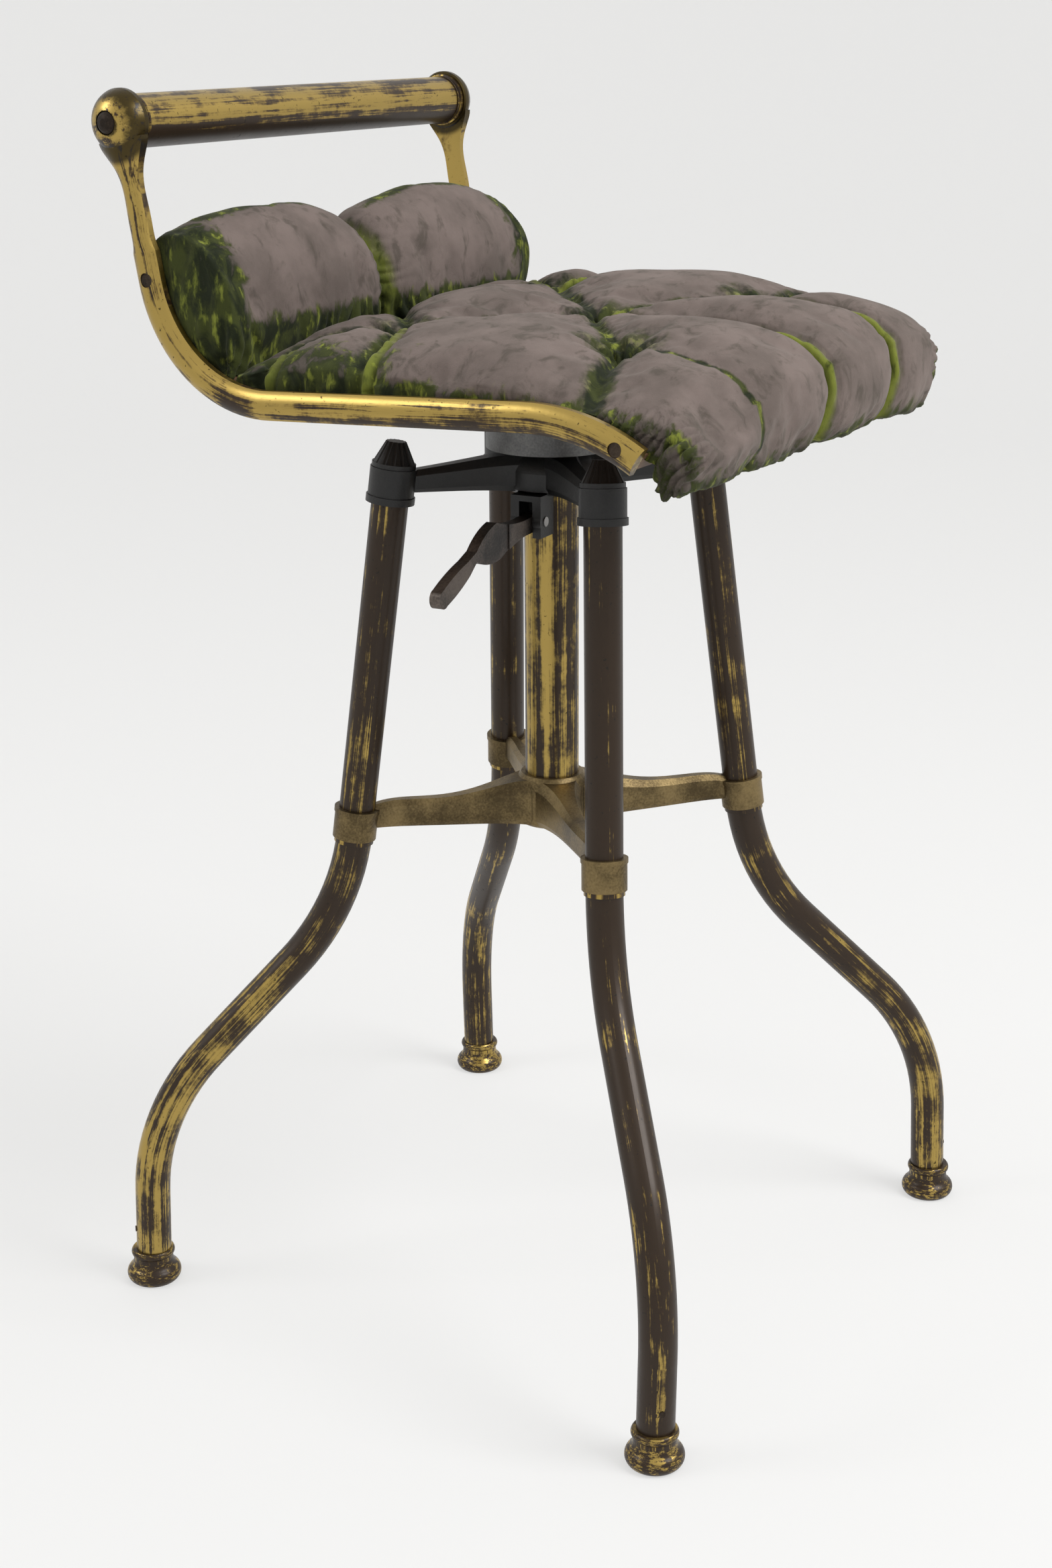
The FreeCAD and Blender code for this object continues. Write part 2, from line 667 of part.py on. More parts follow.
def make_shoe():
    """A round plug with a hollow face that the lever's root presses on the post."""
    start = sized(10.6)
    end = s.pivot_reach - s.cam_throw * cosine(s.cam_turn) - s.cam_radius - 0.3
    plug = rod("shoe_plug", s.shoe_od / 2, end - start, lever_frame(start, s.pivot_height) * OUTWARDS)
    hollow = rod("shoe_hollow", s.post_od / 2 + 0.3, sized(40.0),
                 Placement(spot(0, 0, s.pivot_height - 20), Rotation()))
    node("brake_shoe", cut("shoe_finished", plug, hollow))


# Post and seat plate


def make_post():
    """The steel post with its guide ring, its thrust washer and its pivot screw."""
    shaft = turned("post_turned", [
        (sized(3.05), s.post_foot), (sized(8.0), s.post_foot),
        (sized(8.0), s.post_foot + s.guide_long + 1),
        (s.post_od / 2, s.post_foot + s.guide_long + 1), (s.post_od / 2, s.post_top - 0.8),
        (s.post_od / 2 - 0.8, s.post_top), (sized(4.05), s.post_top), (sized(4.05), s.post_top - 24),
        (0, s.post_top - 24), (0, s.post_foot + 16), (sized(3.05), s.post_foot + 16)])
    node("seat_post", shaft)
    end_screw = turned("post_end_screw_turned", [
        (0, s.post_foot - 3.2), (sized(8.6), s.post_foot - 3.2), (sized(9.4), s.post_foot - 2.4),
        (sized(9.4), s.post_foot - 0.05), (sized(3.0), s.post_foot - 0.05),
        (sized(3.0), s.post_foot + 15), (0, s.post_foot + 15)])
    node("post_end_screw", end_screw)
    ring = tube("guide_plain", s.column_bore - 2 * s.fit, 16.0 + 2 * s.fit, s.post_foot + 0.8,
                s.guide_long)
    node("guide_ring", ring)
    node("thrust_washer", tube("washer_plain", s.post_od - 0.6, sized(8.6), s.post_top + 0.05, sized(1.4)))
    screw = turned("pivot_screw_turned", [
        (0, s.post_top - 22), (sized(4.0), s.post_top - 22), (sized(4.0), s.post_top + 7.2),
        (sized(8.0), s.post_top + 7.2), (sized(8.0), s.post_top + 9.4),
        (sized(5.0), s.post_top + 11.0), (0, s.post_top + 11.0)])
    slot = block("pivot_slot", sized(20.0), sized(1.4), sized(3.0),
                 Placement(spot(-10, -0.7, s.post_top + 9.8), Rotation()))
    node("pivot_screw", cut("pivot_screw_slotted", screw, slot))


# Line of the seat: the side bars and the shell follow it, in the plane of y and z

RAKE = s.seat_rake
RAKE_DROP = tangent(RAKE)
LEAN = s.upright_lean
CORNER_BACK = ((s.boss_back - (s.boss_height - s.rake_height - RAKE_DROP * s.rake_back)
                * tangent(LEAN)) / (1 + RAKE_DROP * tangent(LEAN)))


def seat_height(back):
    """Height of the seat line at a distance behind the axis."""
    return s.rake_height - (back - s.rake_back) * RAKE_DROP


def seat_line(offset):
    """The seat line moved by an offset to its upper side: front tip first, boss last."""
    back_turn = (90 - LEAN + RAKE) / 2
    reach = s.back_bend * tangent(back_turn)
    low_back = CORNER_BACK - reach * cosine(RAKE)
    low_high = seat_height(CORNER_BACK) + reach * sine(RAKE)
    up_back = CORNER_BACK + reach * sine(LEAN)
    up_high = seat_height(CORNER_BACK) + reach * cosine(LEAN)
    front_high = seat_height(-s.front_start)
    tip_back = -s.front_start - s.front_bend * (sine(RAKE) + sine(s.front_dip))
    tip_high = front_high - s.front_bend * (cosine(RAKE) - cosine(s.front_dip))
    dip = s.front_dip
    return {
        "tip": (tip_back - offset * sine(dip), tip_high + offset * cosine(dip)),
        "front": (-s.front_start + offset * sine(RAKE), front_high + offset * cosine(RAKE)),
        "low": (low_back + offset * sine(RAKE), low_high + offset * cosine(RAKE)),
        "up": (up_back - offset * cosine(LEAN), up_high + offset * sine(LEAN)),
        "boss": (s.boss_back - offset * cosine(LEAN), s.boss_height + offset * sine(LEAN)),
    }


def upright_at(height, offset):
    """A point on the upright at a height, moved to its front side."""
    back = s.boss_back - (s.boss_height - height) * tangent(LEAN)
    return (back - offset * cosine(LEAN), height + offset * sine(LEAN))


def front_at(dip, offset):
    """A point on the front bend, where the line slopes down by an angle."""
    back = -s.front_start - s.front_bend * (sine(RAKE) + sine(dip))
    height = seat_height(-s.front_start) - s.front_bend * (cosine(RAKE) - cosine(dip))
    return (back - offset * sine(dip), height + offset * cosine(dip))


BACK_SCREW = upright_at(sized(545.6), 0)
FRONT_SCREW = front_at(sized(25.0), 0)


def make_plate():
    """The drum that turns on the post, with the flange that carries the shell."""
    tilt = Rotation(ACROSS, -s.seat_rake.number)
    under = seat_height(sized(0)) - s.shell_thick / 2 / cosine(RAKE)
    flange_place = Placement(spot(0, 0, under), tilt) * Placement(-spot(0, 0, s.flange_thick), Rotation())
    drum = tube("plate_drum", s.plate_od, 0, s.plate_foot, under - s.plate_foot - 3.5)
    flange = rod("plate_flange", s.flange_od / 2, s.flange_thick - 0.05, flange_place)
    whole = fused("plate_whole", drum, flange)
    tools = [
        rod("plate_bore", s.post_od / 2 + s.fit, s.post_top + 1.6 - 440, Placement(Vector(0, 0, 440), Rotation())),
        rod("plate_screw_way", sized(4.0) + s.fit, sized(40.0), Placement(spot(0, 0, s.post_top), Rotation())),
        rod("plate_recess", sized(8.6), sized(20.0), Placement(spot(0, 0, s.post_top + 7.0), Rotation())),
        rod("plate_hollow_outer", sized(27.0), sized(14.0), Placement(spot(0, 0, s.plate_foot + 6), Rotation())),
    ]
    core = rod("plate_core", sized(17.0), sized(14.0), Placement(spot(0, 0, s.plate_foot + 6), Rotation()))
    hollow = cut("plate_hollow", tools.pop(), core)
    screws = []
    for n in range(4):
        turn = Placement(Vector(), Rotation(UP, 45 + 90 * n))
        spin = flange_place * turn * Placement(spot(s.screw_circle, 0, 0), Rotation())
        shank = rod("plate_screw_shank_{}".format(n), sized(2.2), sized(10.0), lifted(spin, -0.4))
        head = cone("plate_screw_head_{}".format(n), sized(2.6), sized(4.4), sized(2.0), lifted(spin, -2.05))
        screws.append(fused("plate_screw_{}".format(n), shank, head))
        tools.append(rod("plate_hole_{}".format(n), sized(2.2) + s.fit, sized(12.0), lifted(spin, -1)))
    node("seat_plate", cut("plate_bored", whole, *tools))
    node("plate_screws", group("plate_screw_set", *screws))
    return screws


def make_shell(screws, bar_screws):
    """A bent board that follows the side bars and carries both pads."""
    body = new_body("shell_board")
    half = s.shell_thick / 2
    below, above = seat_line(-half), seat_line(half)
    face = new_sketch(body, "shell_face", "YZ_Plane")
    outer_front = s.front_bend - half
    inner_front = s.front_bend + half
    outer_back = s.back_bend + half
    inner_back = s.back_bend - half
    points = [
        below["tip"], below["front"] + (outer_front, -1), below["low"],
        below["up"] + (outer_back, 1), upright_at(s.shell_top, -half),
        upright_at(s.shell_top, half), above["up"], above["low"] + (inner_back, -1),
        above["front"], above["tip"] + (inner_front, 1)]
    outline(face, points)
    pad(body, "shell_pad", face, 2 * s.shell_half, symmetric=True)
    node("seat_shell", cut("shell_drilled", body, *(list(screws) + list(bar_screws))))


# Side bars, handrail and their fasteners


def bar_frame(down):
    """A frame on the left upright, a distance below the boss, with its Z axis up the bar."""
    lean = Rotation(ACROSS, -s.upright_lean.number)
    start = Placement(spot(0, s.boss_back, s.boss_height), lean)
    return start * Placement(Vector(0, 0, -down), Rotation())


def half_round(sketch, wide, thick):
    """A flat face with a crowned outer side, drawn from the bar's inner face outwards."""
    half = wide / 2
    crown = thick * 0.5
    radius = (half * half + crown * crown) / (2 * crown)
    outline(sketch, [(s.bar_inner, half), (s.bar_inner, -half), (s.bar_inner + thick * 0.5, -half),
                     (s.bar_inner + thick * 0.5, half, radius, 1)])
    return sketch


def make_bars():
    """Two bars, mirror images: half-round, bent, with a boss at the top."""
    body = new_body("bar_left_forging")
    line = seat_line(0)
    end_down = 61.0
    stop = upright_at(s.boss_height - end_down * cosine(LEAN), 0)
    spine = new_sketch(body, "bar_spine", "YZ_Plane")
    outline(spine, [line["tip"], line["front"] + (s.front_bend, -1), line["low"],
                    line["up"] + (s.back_bend, 1), stop], closed=False)
    start = Placement(spot(0, line["tip"][0], line["tip"][1]),
                      Rotation(ACROSS, 90 + s.front_dip.number))
    section = half_round(new_sketch(body, "bar_section", "XY_Plane", start), s.bar_wide, s.bar_thick)
    doc.recompute()
    pipe = body.newObject("PartDesign::AdditivePipe", "bar_pipe")
    pipe.Profile = section
    pipe.Spine = (spine, ["Edge1", "Edge2", "Edge3", "Edge4"])
    doc.recompute()
    neck = [(end_down, s.bar_wide, s.bar_thick), (42.0, sized(11.2), s.bar_thick),
            (32.0, sized(10.6), s.bar_thick), (23.0, sized(13.4), sized(7.6)),
            (15.0, sized(21.0), sized(9.2)), (8.0, sized(27.0), sized(9.8))]
    sections = []
    for n, (down, wide, thick) in enumerate(neck):
        sketch = new_sketch(body, "neck_{}".format(n), "XY_Plane", bar_frame(down))
        sections.append(half_round(sketch, wide, thick))
    loft = body.newObject("PartDesign::AdditiveLoft", "bar_neck")
    loft.Profile = sections[0]
    loft.Sections = sections[1:]
    doc.recompute()
    boss = turned("boss_turned", [
        (s.boss_inner, s.rod_od / 2 + s.fit), (s.boss_pole - 4.2, s.rod_od / 2 + s.fit),
        (s.boss_pole - 4.2, sized(5.7)), (s.boss_pole - 0.8, sized(5.7)),
        (s.boss_inner + 3.4, s.boss_od / 2, sized(14.6), 1), (s.boss_inner + 0.8, s.boss_od / 2),
        (s.boss_inner, s.boss_od / 2 - 0.8)], axis="X_Axis")
    boss.Placement = Placement(spot(0, s.boss_back, s.boss_height), Rotation())
    screws = []
    for n, (back, high) in enumerate((FRONT_SCREW, BACK_SCREW)):
        crown = s.bar_inner + s.bar_thick
        frame = Placement(spot(crown - 0.9, back, high), Rotation(ALONG, -90))
        shank = rod("bar_screw_shank_{}".format(n), sized(2.0), sized(26.0), frame)
        head = cone("bar_screw_head_{}".format(n), sized(3.4), sized(1.9), sized(1.8), frame)
        screws.append(fused("bar_screw_left_{}".format(n), shank, head))
    mirrored = [mirror("bar_screw_right_{}".format(n), screw) for n, screw in enumerate(screws)]
    node("bar_screws", group("bar_screw_set", *(screws + mirrored)))
    openings = []
    for n, (back, high) in enumerate((FRONT_SCREW, BACK_SCREW)):
        frame = Placement(spot(s.bar_inner - 1, back, high), OUTWARDS.Rotation)
        openings.append(rod("bar_hole_{}".format(n), sized(3.4) + s.fit, sized(12.0), frame))
    whole = fused("bar_left_whole", body, boss)
    left = node("side_bar_left", cut("bar_left_drilled", whole, *openings))
    node("side_bar_right", mirror("bar_right_mirror", left))
    return screws + mirrored


def mirror(name, source):
    """The mirror image on the sitter's other side."""
    image = doc.addObject("Part::Mirroring", name)
    image.Source = source
    image.Normal = ACROSS
    image.Base = Vector(0, 0, 0)
    return image


def make_handrail():
    """The rail tube, a turned ring at each end, and the tie rod with its two domed nuts."""
    place = Placement(spot(0, s.boss_back, s.boss_height), Rotation())
    body = new_body("handrail")
    section = rings(new_sketch(body, "rail_section", "YZ_Plane"), s.rail_od, s.rail_bore)
    pad(body, "rail_pad", section, 2 * s.rail_half, symmetric=True)
    body.Placement = place
    node("handrail_tube", body)
    hole = s.rod_od / 2 + s.fit
    outer = s.boss_inner - 0.05
    ring = turned("rail_ring", [
        (s.rail_half + 0.05, s.rail_bore / 2 - s.fit), (s.rail_half + 0.05, sized(13.3)),
        (s.rail_half + 1.1, sized(13.3)), (s.rail_half + 1.4, sized(12.7)),
        (outer - 2.0, sized(12.7)), (outer - 1.6, sized(13.9)), (outer, sized(13.9)),
        (outer, hole), (s.rail_half - 9, hole), (s.rail_half - 9, s.rail_bore / 2 - s.fit)],
        axis="X_Axis")
    ring.Placement = place
    node("rail_ring_left", ring)
    node("rail_ring_right", mirror("rail_ring_mirror", ring))
    bar = new_body("tie_bar")
    pad(bar, "tie_pad", rings(new_sketch(bar, "tie_section", "YZ_Plane"), s.rod_od),
        2 * s.boss_pole - 2.6, symmetric=True)
    bar.Placement = place
    node("tie_rod", bar)
    nut = turned("rail_nut", [
        (s.boss_pole - 4.15, hole), (s.boss_pole - 4.15, sized(5.2)), (s.boss_pole - 1.0, sized(5.2)),
        (s.boss_pole + 0.2, sized(3.9)), (s.boss_pole + 0.7, sized(2.0)), (s.boss_pole + 0.7, 0),
        (s.boss_pole - 1.2, 0), (s.boss_pole - 1.2, hole)],
        axis="X_Axis")
    nut.Placement = place
    node("rail_nut_left", nut)
    node("rail_nut_right", mirror("rail_nut_mirror", nut))


# Pads. Each is lofted across the stool through outlines of lines and arcs.


def section_wire(x, steps):
    """A closed wire at one x. A step is (y, z), or (y, z, middle y, middle z) after an arc."""
    count = len(steps)
    edges = []
    for index in range(count):
        there = steps[(index + 1) % count]
        start = Vector(x, steps[index][0], steps[index][1])
        end = Vector(x, there[0], there[1])
        if len(there) > 2:
            middle = Vector(x, there[2], there[3])
            edges.append(Part.Arc(start, middle, end).toShape())
        else:
            edges.append(Part.LineSegment(start, end).toShape())
    return Part.Wire(edges)


def swell(share):
    """How far a channel has risen, from 0 at its seam to 1 at its middle."""
    return math.sin(math.pi * share)


def between(low, high, share):
    return low + (high - low) * share


def seat_steps(share, seam_inner, seam_outer):
    """Outline of the seat pad, a share of the way over a channel between two seams."""
    rise = swell(share)
    seam = [between(a, b, share) for a, b in zip(seam_inner, seam_outer)]
    back_dip, middle_dip, front_dip, low_crest, nose = seam
    dips = [between(back_dip, 529.0, rise), between(middle_dip, 529.0, rise),
            between(front_dip, 530.0, rise)]
    crest = between(low_crest, 536.0, rise)
    out = between(nose, -160.0, rise)
    rear, front = 98.0, -133.0
    shell = [(front, 468.0), (front + 0.5, 482.6), (-112.0, 489.6), (-69.0, 496.5), (72.0, 490.3),
             (rear - 2, 493.7)]
    top = [(rear, 511.0), (40.0, dips[0], 70.0, crest), (-26.0, dips[1], 7.0, crest),
           (-80.0, dips[2], -53.0, crest), (out, 502.0, -132.0, crest - 4.0),
           (-146.0, 468.0, out + 0.5, 482.0)]
    return top + shell


def channel(inner, outer, seam_inner, seam_outer):
    """One puffed channel of the seat pad, from seam to seam."""
    wires = []
    for step in range(7):
        share = step / 6.0
        wires.append(section_wire(between(inner, outer, share), seat_steps(share, seam_inner, seam_outer)))
    return Part.makeLoft(wires, True, False)


def fuse_all(solids):
    whole = solids[0]
    for solid in solids[1:]:
        whole = whole.fuse(solid)
    return whole


def make_seat_pad(shell):
    """A buttoned pad with a deep front roll: four channels between seams, rows of tufts staggered."""
    pitch = s.column_pitch.number
    half = s.pad_half.number
    middle_seam = (524.0, 515.0, 526.0, 529.0, -154.0)
    side_seam = (515.0, 524.0, 515.0, 529.0, -154.0)
    side_edge = (506.0, 508.0, 508.0, 512.0, -149.0)
    solids = []
    for sign in (1, -1):
        solids.append(channel(0.0, sign * pitch, middle_seam, side_seam))
        solids.append(channel(sign * pitch, sign * half, side_seam, side_edge))
    whole = fuse_all(solids).cut(shell.Shape)
    pad_feature = doc.addObject("Part::Feature", "seat_pad_form")
    pad_feature.Shape = largest(whole)
    return pad_feature


def largest(shape):
    """The largest solid of a shape."""
    return max(shape.Solids, key=lambda solid: solid.Volume)


def back_steps(share):
    """Outline of the back pad, a share of the way from its cleft to its end."""
    rise = swell(share) ** 0.7
    crest = between(between(572.0, 562.0, share), 581.0, rise)
    bulge = between(97.0, 90.0, rise)
    return [(99.5, 499.0), (99.0, 513.5), (103.0, crest - 14.0, bulge, 538.0),
            (148.5, crest - 12.0, 126.0, crest), (149.5, 543.0, 152.0, (crest + 531.0) / 2),
            (139.6, 543.0), (138.2, 538.0), (132.0, 523.3), (121.5, 509.6), (108.0, 499.2)]


def make_back_pad(shell):
    """A two-lobed pad that leans on the shell's upright and rolls over its top."""
    half = s.pad_half.number
    solids = []
    for sign in (1, -1):
        wires = []
        for step in range(9):
            share = step / 8.0
            wires.append(section_wire(sign * half * share, back_steps(share)))
        solids.append(Part.makeLoft(wires, True, False))
    whole = fuse_all(solids).cut(shell.Shape)
    pad_feature = doc.addObject("Part::Feature", "back_pad_form")
    pad_feature.Shape = largest(whole)
    return pad_feature


def make_pads():
    """Both pads and the buttons sunk in the seat pad's tufts."""
    doc.recompute()
    shell = nodes["seat_shell"]
    seat = make_seat_pad(shell)
    node("back_pad", make_back_pad(shell))
    pitch = s.column_pitch.number
    buttons = []
    pockets = []
    tufts = [(0.0, -26.0)] + [(side * pitch, back) for side in (1, -1) for back in (-80.0, 40.0)]
    for n, (x, back) in enumerate(tufts):
        frame = Placement(Vector(x, back, 512.5), Rotation())
        stem = rod("button_stem_{}".format(n), sized(4.6), sized(2.0), frame)
        dome = cone("button_dome_{}".format(n), sized(4.6), sized(2.6), sized(1.4), lifted(frame, 2.0))
        buttons.append(fused("button_{}".format(n), stem, dome))
        pockets.append(rod("button_pocket_{}".format(n), sized(5.2), sized(40.0), lifted(frame, -0.05)))
    node("tuft_buttons", group("button_set", *buttons))
    node("seat_pad", cut("seat_pad_pocketed", seat, *pockets))


def check_and_save():
    """Stop on any failed object or unsound shape, then write one file for each node."""
    doc.recompute()
    for item in doc.Objects:
        if "Invalid" in item.State or "Error" in item.State:
            raise RuntimeError("{} ({}) failed: {}".format(item.Label, item.Name, item.State))
    for name, item in nodes.items():
        if item.Shape.isNull() or not item.Shape.isValid() or not item.Shape.Solids:
            raise RuntimeError(name + " has no sound solid")
    os.makedirs("parts", exist_ok=True)
    for name, item in nodes.items():
        item.Shape.exportStep(os.path.join("parts", name + ".step"))
        print("{:26s} {:3d} solid(s) {:10.1f} mm3".format(name, len(item.Shape.Solids), item.Shape.Volume))


foot_pins = make_foot_pins()
for leg_side, leg_bearing in LEGS.items():
    make_leg(leg_side, leg_bearing, foot_pins[leg_side])
    make_foot(leg_side, leg_bearing, foot_pins[leg_side])
make_collar_rings()
make_lower_spider()
make_upper_spider()
make_cap_nuts()
make_column()
make_lever()
make_shoe()
make_post()
plate_screw_pieces = make_plate()
bar_screw_pieces = make_bars()
make_shell(plate_screw_pieces, bar_screw_pieces)
make_handrail()
make_pads()
check_and_save()
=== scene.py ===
# %% [markdown]
# This notebook dresses a revolving piano stool. The metal frame arrives as finished solids, and stays
# where it is. Blender adds what a workshop drawing leaves out: worn brass, black japan, and a seat of
# crushed velvet. Everything is in metres, with the floor at z = 0 and the front of the seat towards -Y.

# %% Load the frame
import math

import bpy
import numpy as np
from mathutils import Euler, Matrix, Vector, noise
from mathutils.bvhtree import BVHTree


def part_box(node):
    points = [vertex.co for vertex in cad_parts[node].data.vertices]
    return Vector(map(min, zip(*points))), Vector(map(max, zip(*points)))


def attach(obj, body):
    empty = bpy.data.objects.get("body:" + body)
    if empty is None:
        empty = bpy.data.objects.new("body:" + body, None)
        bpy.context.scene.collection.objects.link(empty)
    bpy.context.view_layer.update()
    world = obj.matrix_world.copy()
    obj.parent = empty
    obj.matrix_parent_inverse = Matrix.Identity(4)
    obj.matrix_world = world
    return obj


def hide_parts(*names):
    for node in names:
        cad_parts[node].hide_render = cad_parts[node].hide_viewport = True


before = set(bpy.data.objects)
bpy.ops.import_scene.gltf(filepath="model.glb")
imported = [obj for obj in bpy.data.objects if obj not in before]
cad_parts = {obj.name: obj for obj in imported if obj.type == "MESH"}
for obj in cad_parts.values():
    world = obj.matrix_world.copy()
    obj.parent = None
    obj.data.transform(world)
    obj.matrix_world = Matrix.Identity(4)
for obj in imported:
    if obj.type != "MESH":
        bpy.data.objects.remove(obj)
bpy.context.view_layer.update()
MM = 0.001
scene = bpy.context.scene

# %% [markdown]
# The camera stands where the photographer stood, at the right of the stool, a little above the seat.
# The base gave its place: four equal bent legs at right angles, round an upright column, leave one answer.
# An orbit round a point on the stool's axis is easier to read than a raw position, so it is kept so.

# %% Place the camera
VIEW_AZIMUTH = math.radians(-59.3)
VIEW_ELEVATION = math.radians(18.595)
VIEW_DISTANCE = 1.25326
VIEW_HEIGHT = 0.2720
VIEW_PAN = math.radians(-0.645)
VIEW_ROLL = math.radians(-0.158)
LENS = 53.43


def place_camera():
    """A camera on its orbit, turned a little from the stool's axis and rolled a little."""
    data = bpy.data.cameras.new("camera")
    data.sensor_width = 36.0
    data.lens = LENS
    data.clip_end = 60.0
    camera = bpy.data.objects.new("camera", data)
    scene.collection.objects.link(camera)
    orbit = Euler((math.pi / 2 - VIEW_ELEVATION, 0.0, VIEW_AZIMUTH)).to_matrix().to_4x4()
    aim = Matrix.Translation((0.0, 0.0, VIEW_HEIGHT))
    place = aim @ orbit @ Matrix.Translation((0.0, 0.0, VIEW_DISTANCE))
    turn = Matrix.Rotation(-VIEW_PAN, 4, "Y") @ Matrix.Rotation(VIEW_ROLL, 4, "Z")
    camera.matrix_world = place @ turn
    scene.camera = camera
    return camera


camera = place_camera()
print("camera at", [round(number, 3) for number in camera.matrix_world.translation])

# %% [markdown]
# Nodes written by hand hide the recipe in a web of links. A small class wraps one socket, so that a
# mask can be written as a sum. Each operator adds one Math node, and the other nodes come from one
# method that takes a node's type, its settings and its inputs.

# %% Shader maths as expressions
class Signal:
    """One output socket of a material's tree, with arithmetic that adds nodes."""

    def __init__(self, finish, socket):
        self.finish = finish
        self.socket = socket

    def math(self, operation, *others):
        inputs = {0: self}
        for place, other in enumerate(others):
            inputs[place + 1] = other
        return self.finish.node("ShaderNodeMath", {"operation": operation}, inputs)

    def __add__(self, other):
        return self.math("ADD", other)

    def __sub__(self, other):
        return self.math("SUBTRACT", other)

    def __mul__(self, other):
        return self.math("MULTIPLY", other)

    def __rsub__(self, other):
        return self.finish.node("ShaderNodeMath", {"operation": "SUBTRACT"}, {0: other, 1: self})

    __radd__ = __add__
    __rmul__ = __mul__

    def ramp(self, low, high):
        """0 below low, 1 above high, and a smooth step between."""
        settings = {"interpolation_type": "SMOOTHSTEP"}
        inputs = {"Value": self, "From Min": low, "From Max": high}
        return self.finish.node("ShaderNodeMapRange", settings, inputs)

    def most(self, other):
        return self.math("MAXIMUM", other)


class Finish:
    """A material being written: its tree, its shader and the ways to add to them."""

    def __init__(self, name, **uniform):
        self.material = bpy.data.materials.new(name)
        self.material.use_nodes = True
        self.tree = self.material.node_tree
        self.shader = self.tree.nodes["Principled BSDF"]
        for socket, value in uniform.items():
            self.shader.inputs[socket.replace("_", " ")].default_value = value

    def node(self, kind, settings, inputs, output=0):
        """Adds a node, makes its settings, feeds its sockets and returns one of its outputs."""
        added = self.tree.nodes.new(kind)
        for name, value in settings.items():
            setattr(added, name, value)
        for socket, value in inputs.items():
            if isinstance(value, Signal):
                self.tree.links.new(value.socket, added.inputs[socket])
            else:
                added.inputs[socket].default_value = value
        return Signal(self, added.outputs[output])

    def place(self):
        """Where a point is on the piece, in metres."""
        return self.node("ShaderNodeTexCoord", {}, {}, "Object")

    def facing(self):
        """Which way the surface points, on the piece."""
        return self.node("ShaderNodeTexCoord", {}, {}, "Normal")

    def stretched(self, vector, scale):
        return self.node("ShaderNodeVectorMath", {"operation": "MULTIPLY"}, {0: vector, 1: scale})

    def summed(self, first, second):
        return self.node("ShaderNodeVectorMath", {"operation": "ADD"}, {0: first, 1: second})

    def noise(self, vector, scale, detail=3.0, roughness=0.55, distortion=0.0):
        inputs = {"Vector": vector, "Scale": scale, "Detail": detail, "Roughness": roughness,
                  "Distortion": distortion}
        return self.node("ShaderNodeTexNoise", {}, inputs)

    def mixed(self, share, first, second):
        """A colour between two colours."""
        added = self.tree.nodes.new("ShaderNodeMix")
        added.data_type = "RGBA"
        for socket, value in ((added.inputs[0], share), (added.inputs[6], first), (added.inputs[7], second)):
            if isinstance(value, Signal):
                self.tree.links.new(value.socket, socket)
            else:
                socket.default_value = value if isinstance(value, float) else (*value, 1.0)
        return Signal(self, added.outputs[2])

    def feed(self, socket, value):
        self.tree.links.new(value.socket, self.shader.inputs[socket])

    def bump(self, height, strength, distance):
        inputs = {"Height": height, "Strength": strength, "Distance": distance}
        self.feed("Normal", self.node("ShaderNodeBump", {}, inputs))


print("shader helpers ready")

# %% [markdown]
# The stool stands on seamless studio paper under large soft lamps. A shallow round dish does the same as
# paper that curves up behind: it has no corner for the eye to find, from any side. The camera and the
# brass see the dish glow a little, which evens it out and still leaves the stool its shadow.

# %% Build the studio
PAPER = (0.78, 0.78, 0.775)
PAPER_GLOW = 0.62
GLOW = (0.88, 0.88, 0.875, 1.0)
DISH_FLOOR = 2.6
DISH_BEND = 1.6
DISH_HEIGHT = 2.4


def paper_finish():
    """Matte paper that shows itself evenly to the camera and in reflections."""
    paper = Finish("studio_paper", Base_Color=(*PAPER, 1.0), Roughness=0.9)
    rays = paper.tree.nodes.new("ShaderNodeLightPath")
    seen = Signal(paper, rays.outputs["Is Camera Ray"]).most(Signal(paper, rays.outputs["Is Glossy Ray"]))
    glow = paper.node("ShaderNodeEmission", {}, {"Color": GLOW, "Strength": 1.0})
    share = seen.most(Signal(paper, rays.outputs["Is Transmission Ray"])) * PAPER_GLOW
    plain = Signal(paper, paper.shader.outputs[0])
    both = paper.node("ShaderNodeMixShader", {}, {0: share, 1: plain, 2: glow})
    output = paper.tree.nodes["Material Output"]
    paper.tree.links.new(both.socket, output.inputs["Surface"])
    return paper.material


def build_dish(turns=96, bend_steps=14):
    """A round floor that curves up into a wall, as one skin of rings."""
    profile = [(DISH_FLOOR * share, 0.0) for share in (0.1, 0.4, 0.7, 1.0)]
    for step in range(1, bend_steps + 1):
        angle = math.pi / 2 * step / bend_steps
        profile.append((DISH_FLOOR + DISH_BEND * math.sin(angle), DISH_BEND * (1 - math.cos(angle))))
    profile.append((DISH_FLOOR + DISH_BEND, DISH_HEIGHT))
    points = [(0.0, 0.0, 0.0)]
    for radius, height in profile:
        for turn in range(turns):
            angle = math.tau * turn / turns
            points.append((radius * math.cos(angle), radius * math.sin(angle), height))
    faces = [(0, 1 + turn, 1 + (turn + 1) % turns) for turn in range(turns)]
    for ring in range(len(profile) - 1):
        low, high = 1 + ring * turns, 1 + (ring + 1) * turns
        for turn in range(turns):
            after = (turn + 1) % turns
            faces.append((low + turn, high + turn, high + after, low + after))
    mesh = bpy.data.meshes.new("floor")
    mesh.from_pydata(points, [], faces)
    mesh.polygons.foreach_set("use_smooth", [True] * len(faces))
    mesh.materials.append(paper_finish())
    dish = bpy.data.objects.new("floor", mesh)
    scene.collection.objects.link(dish)


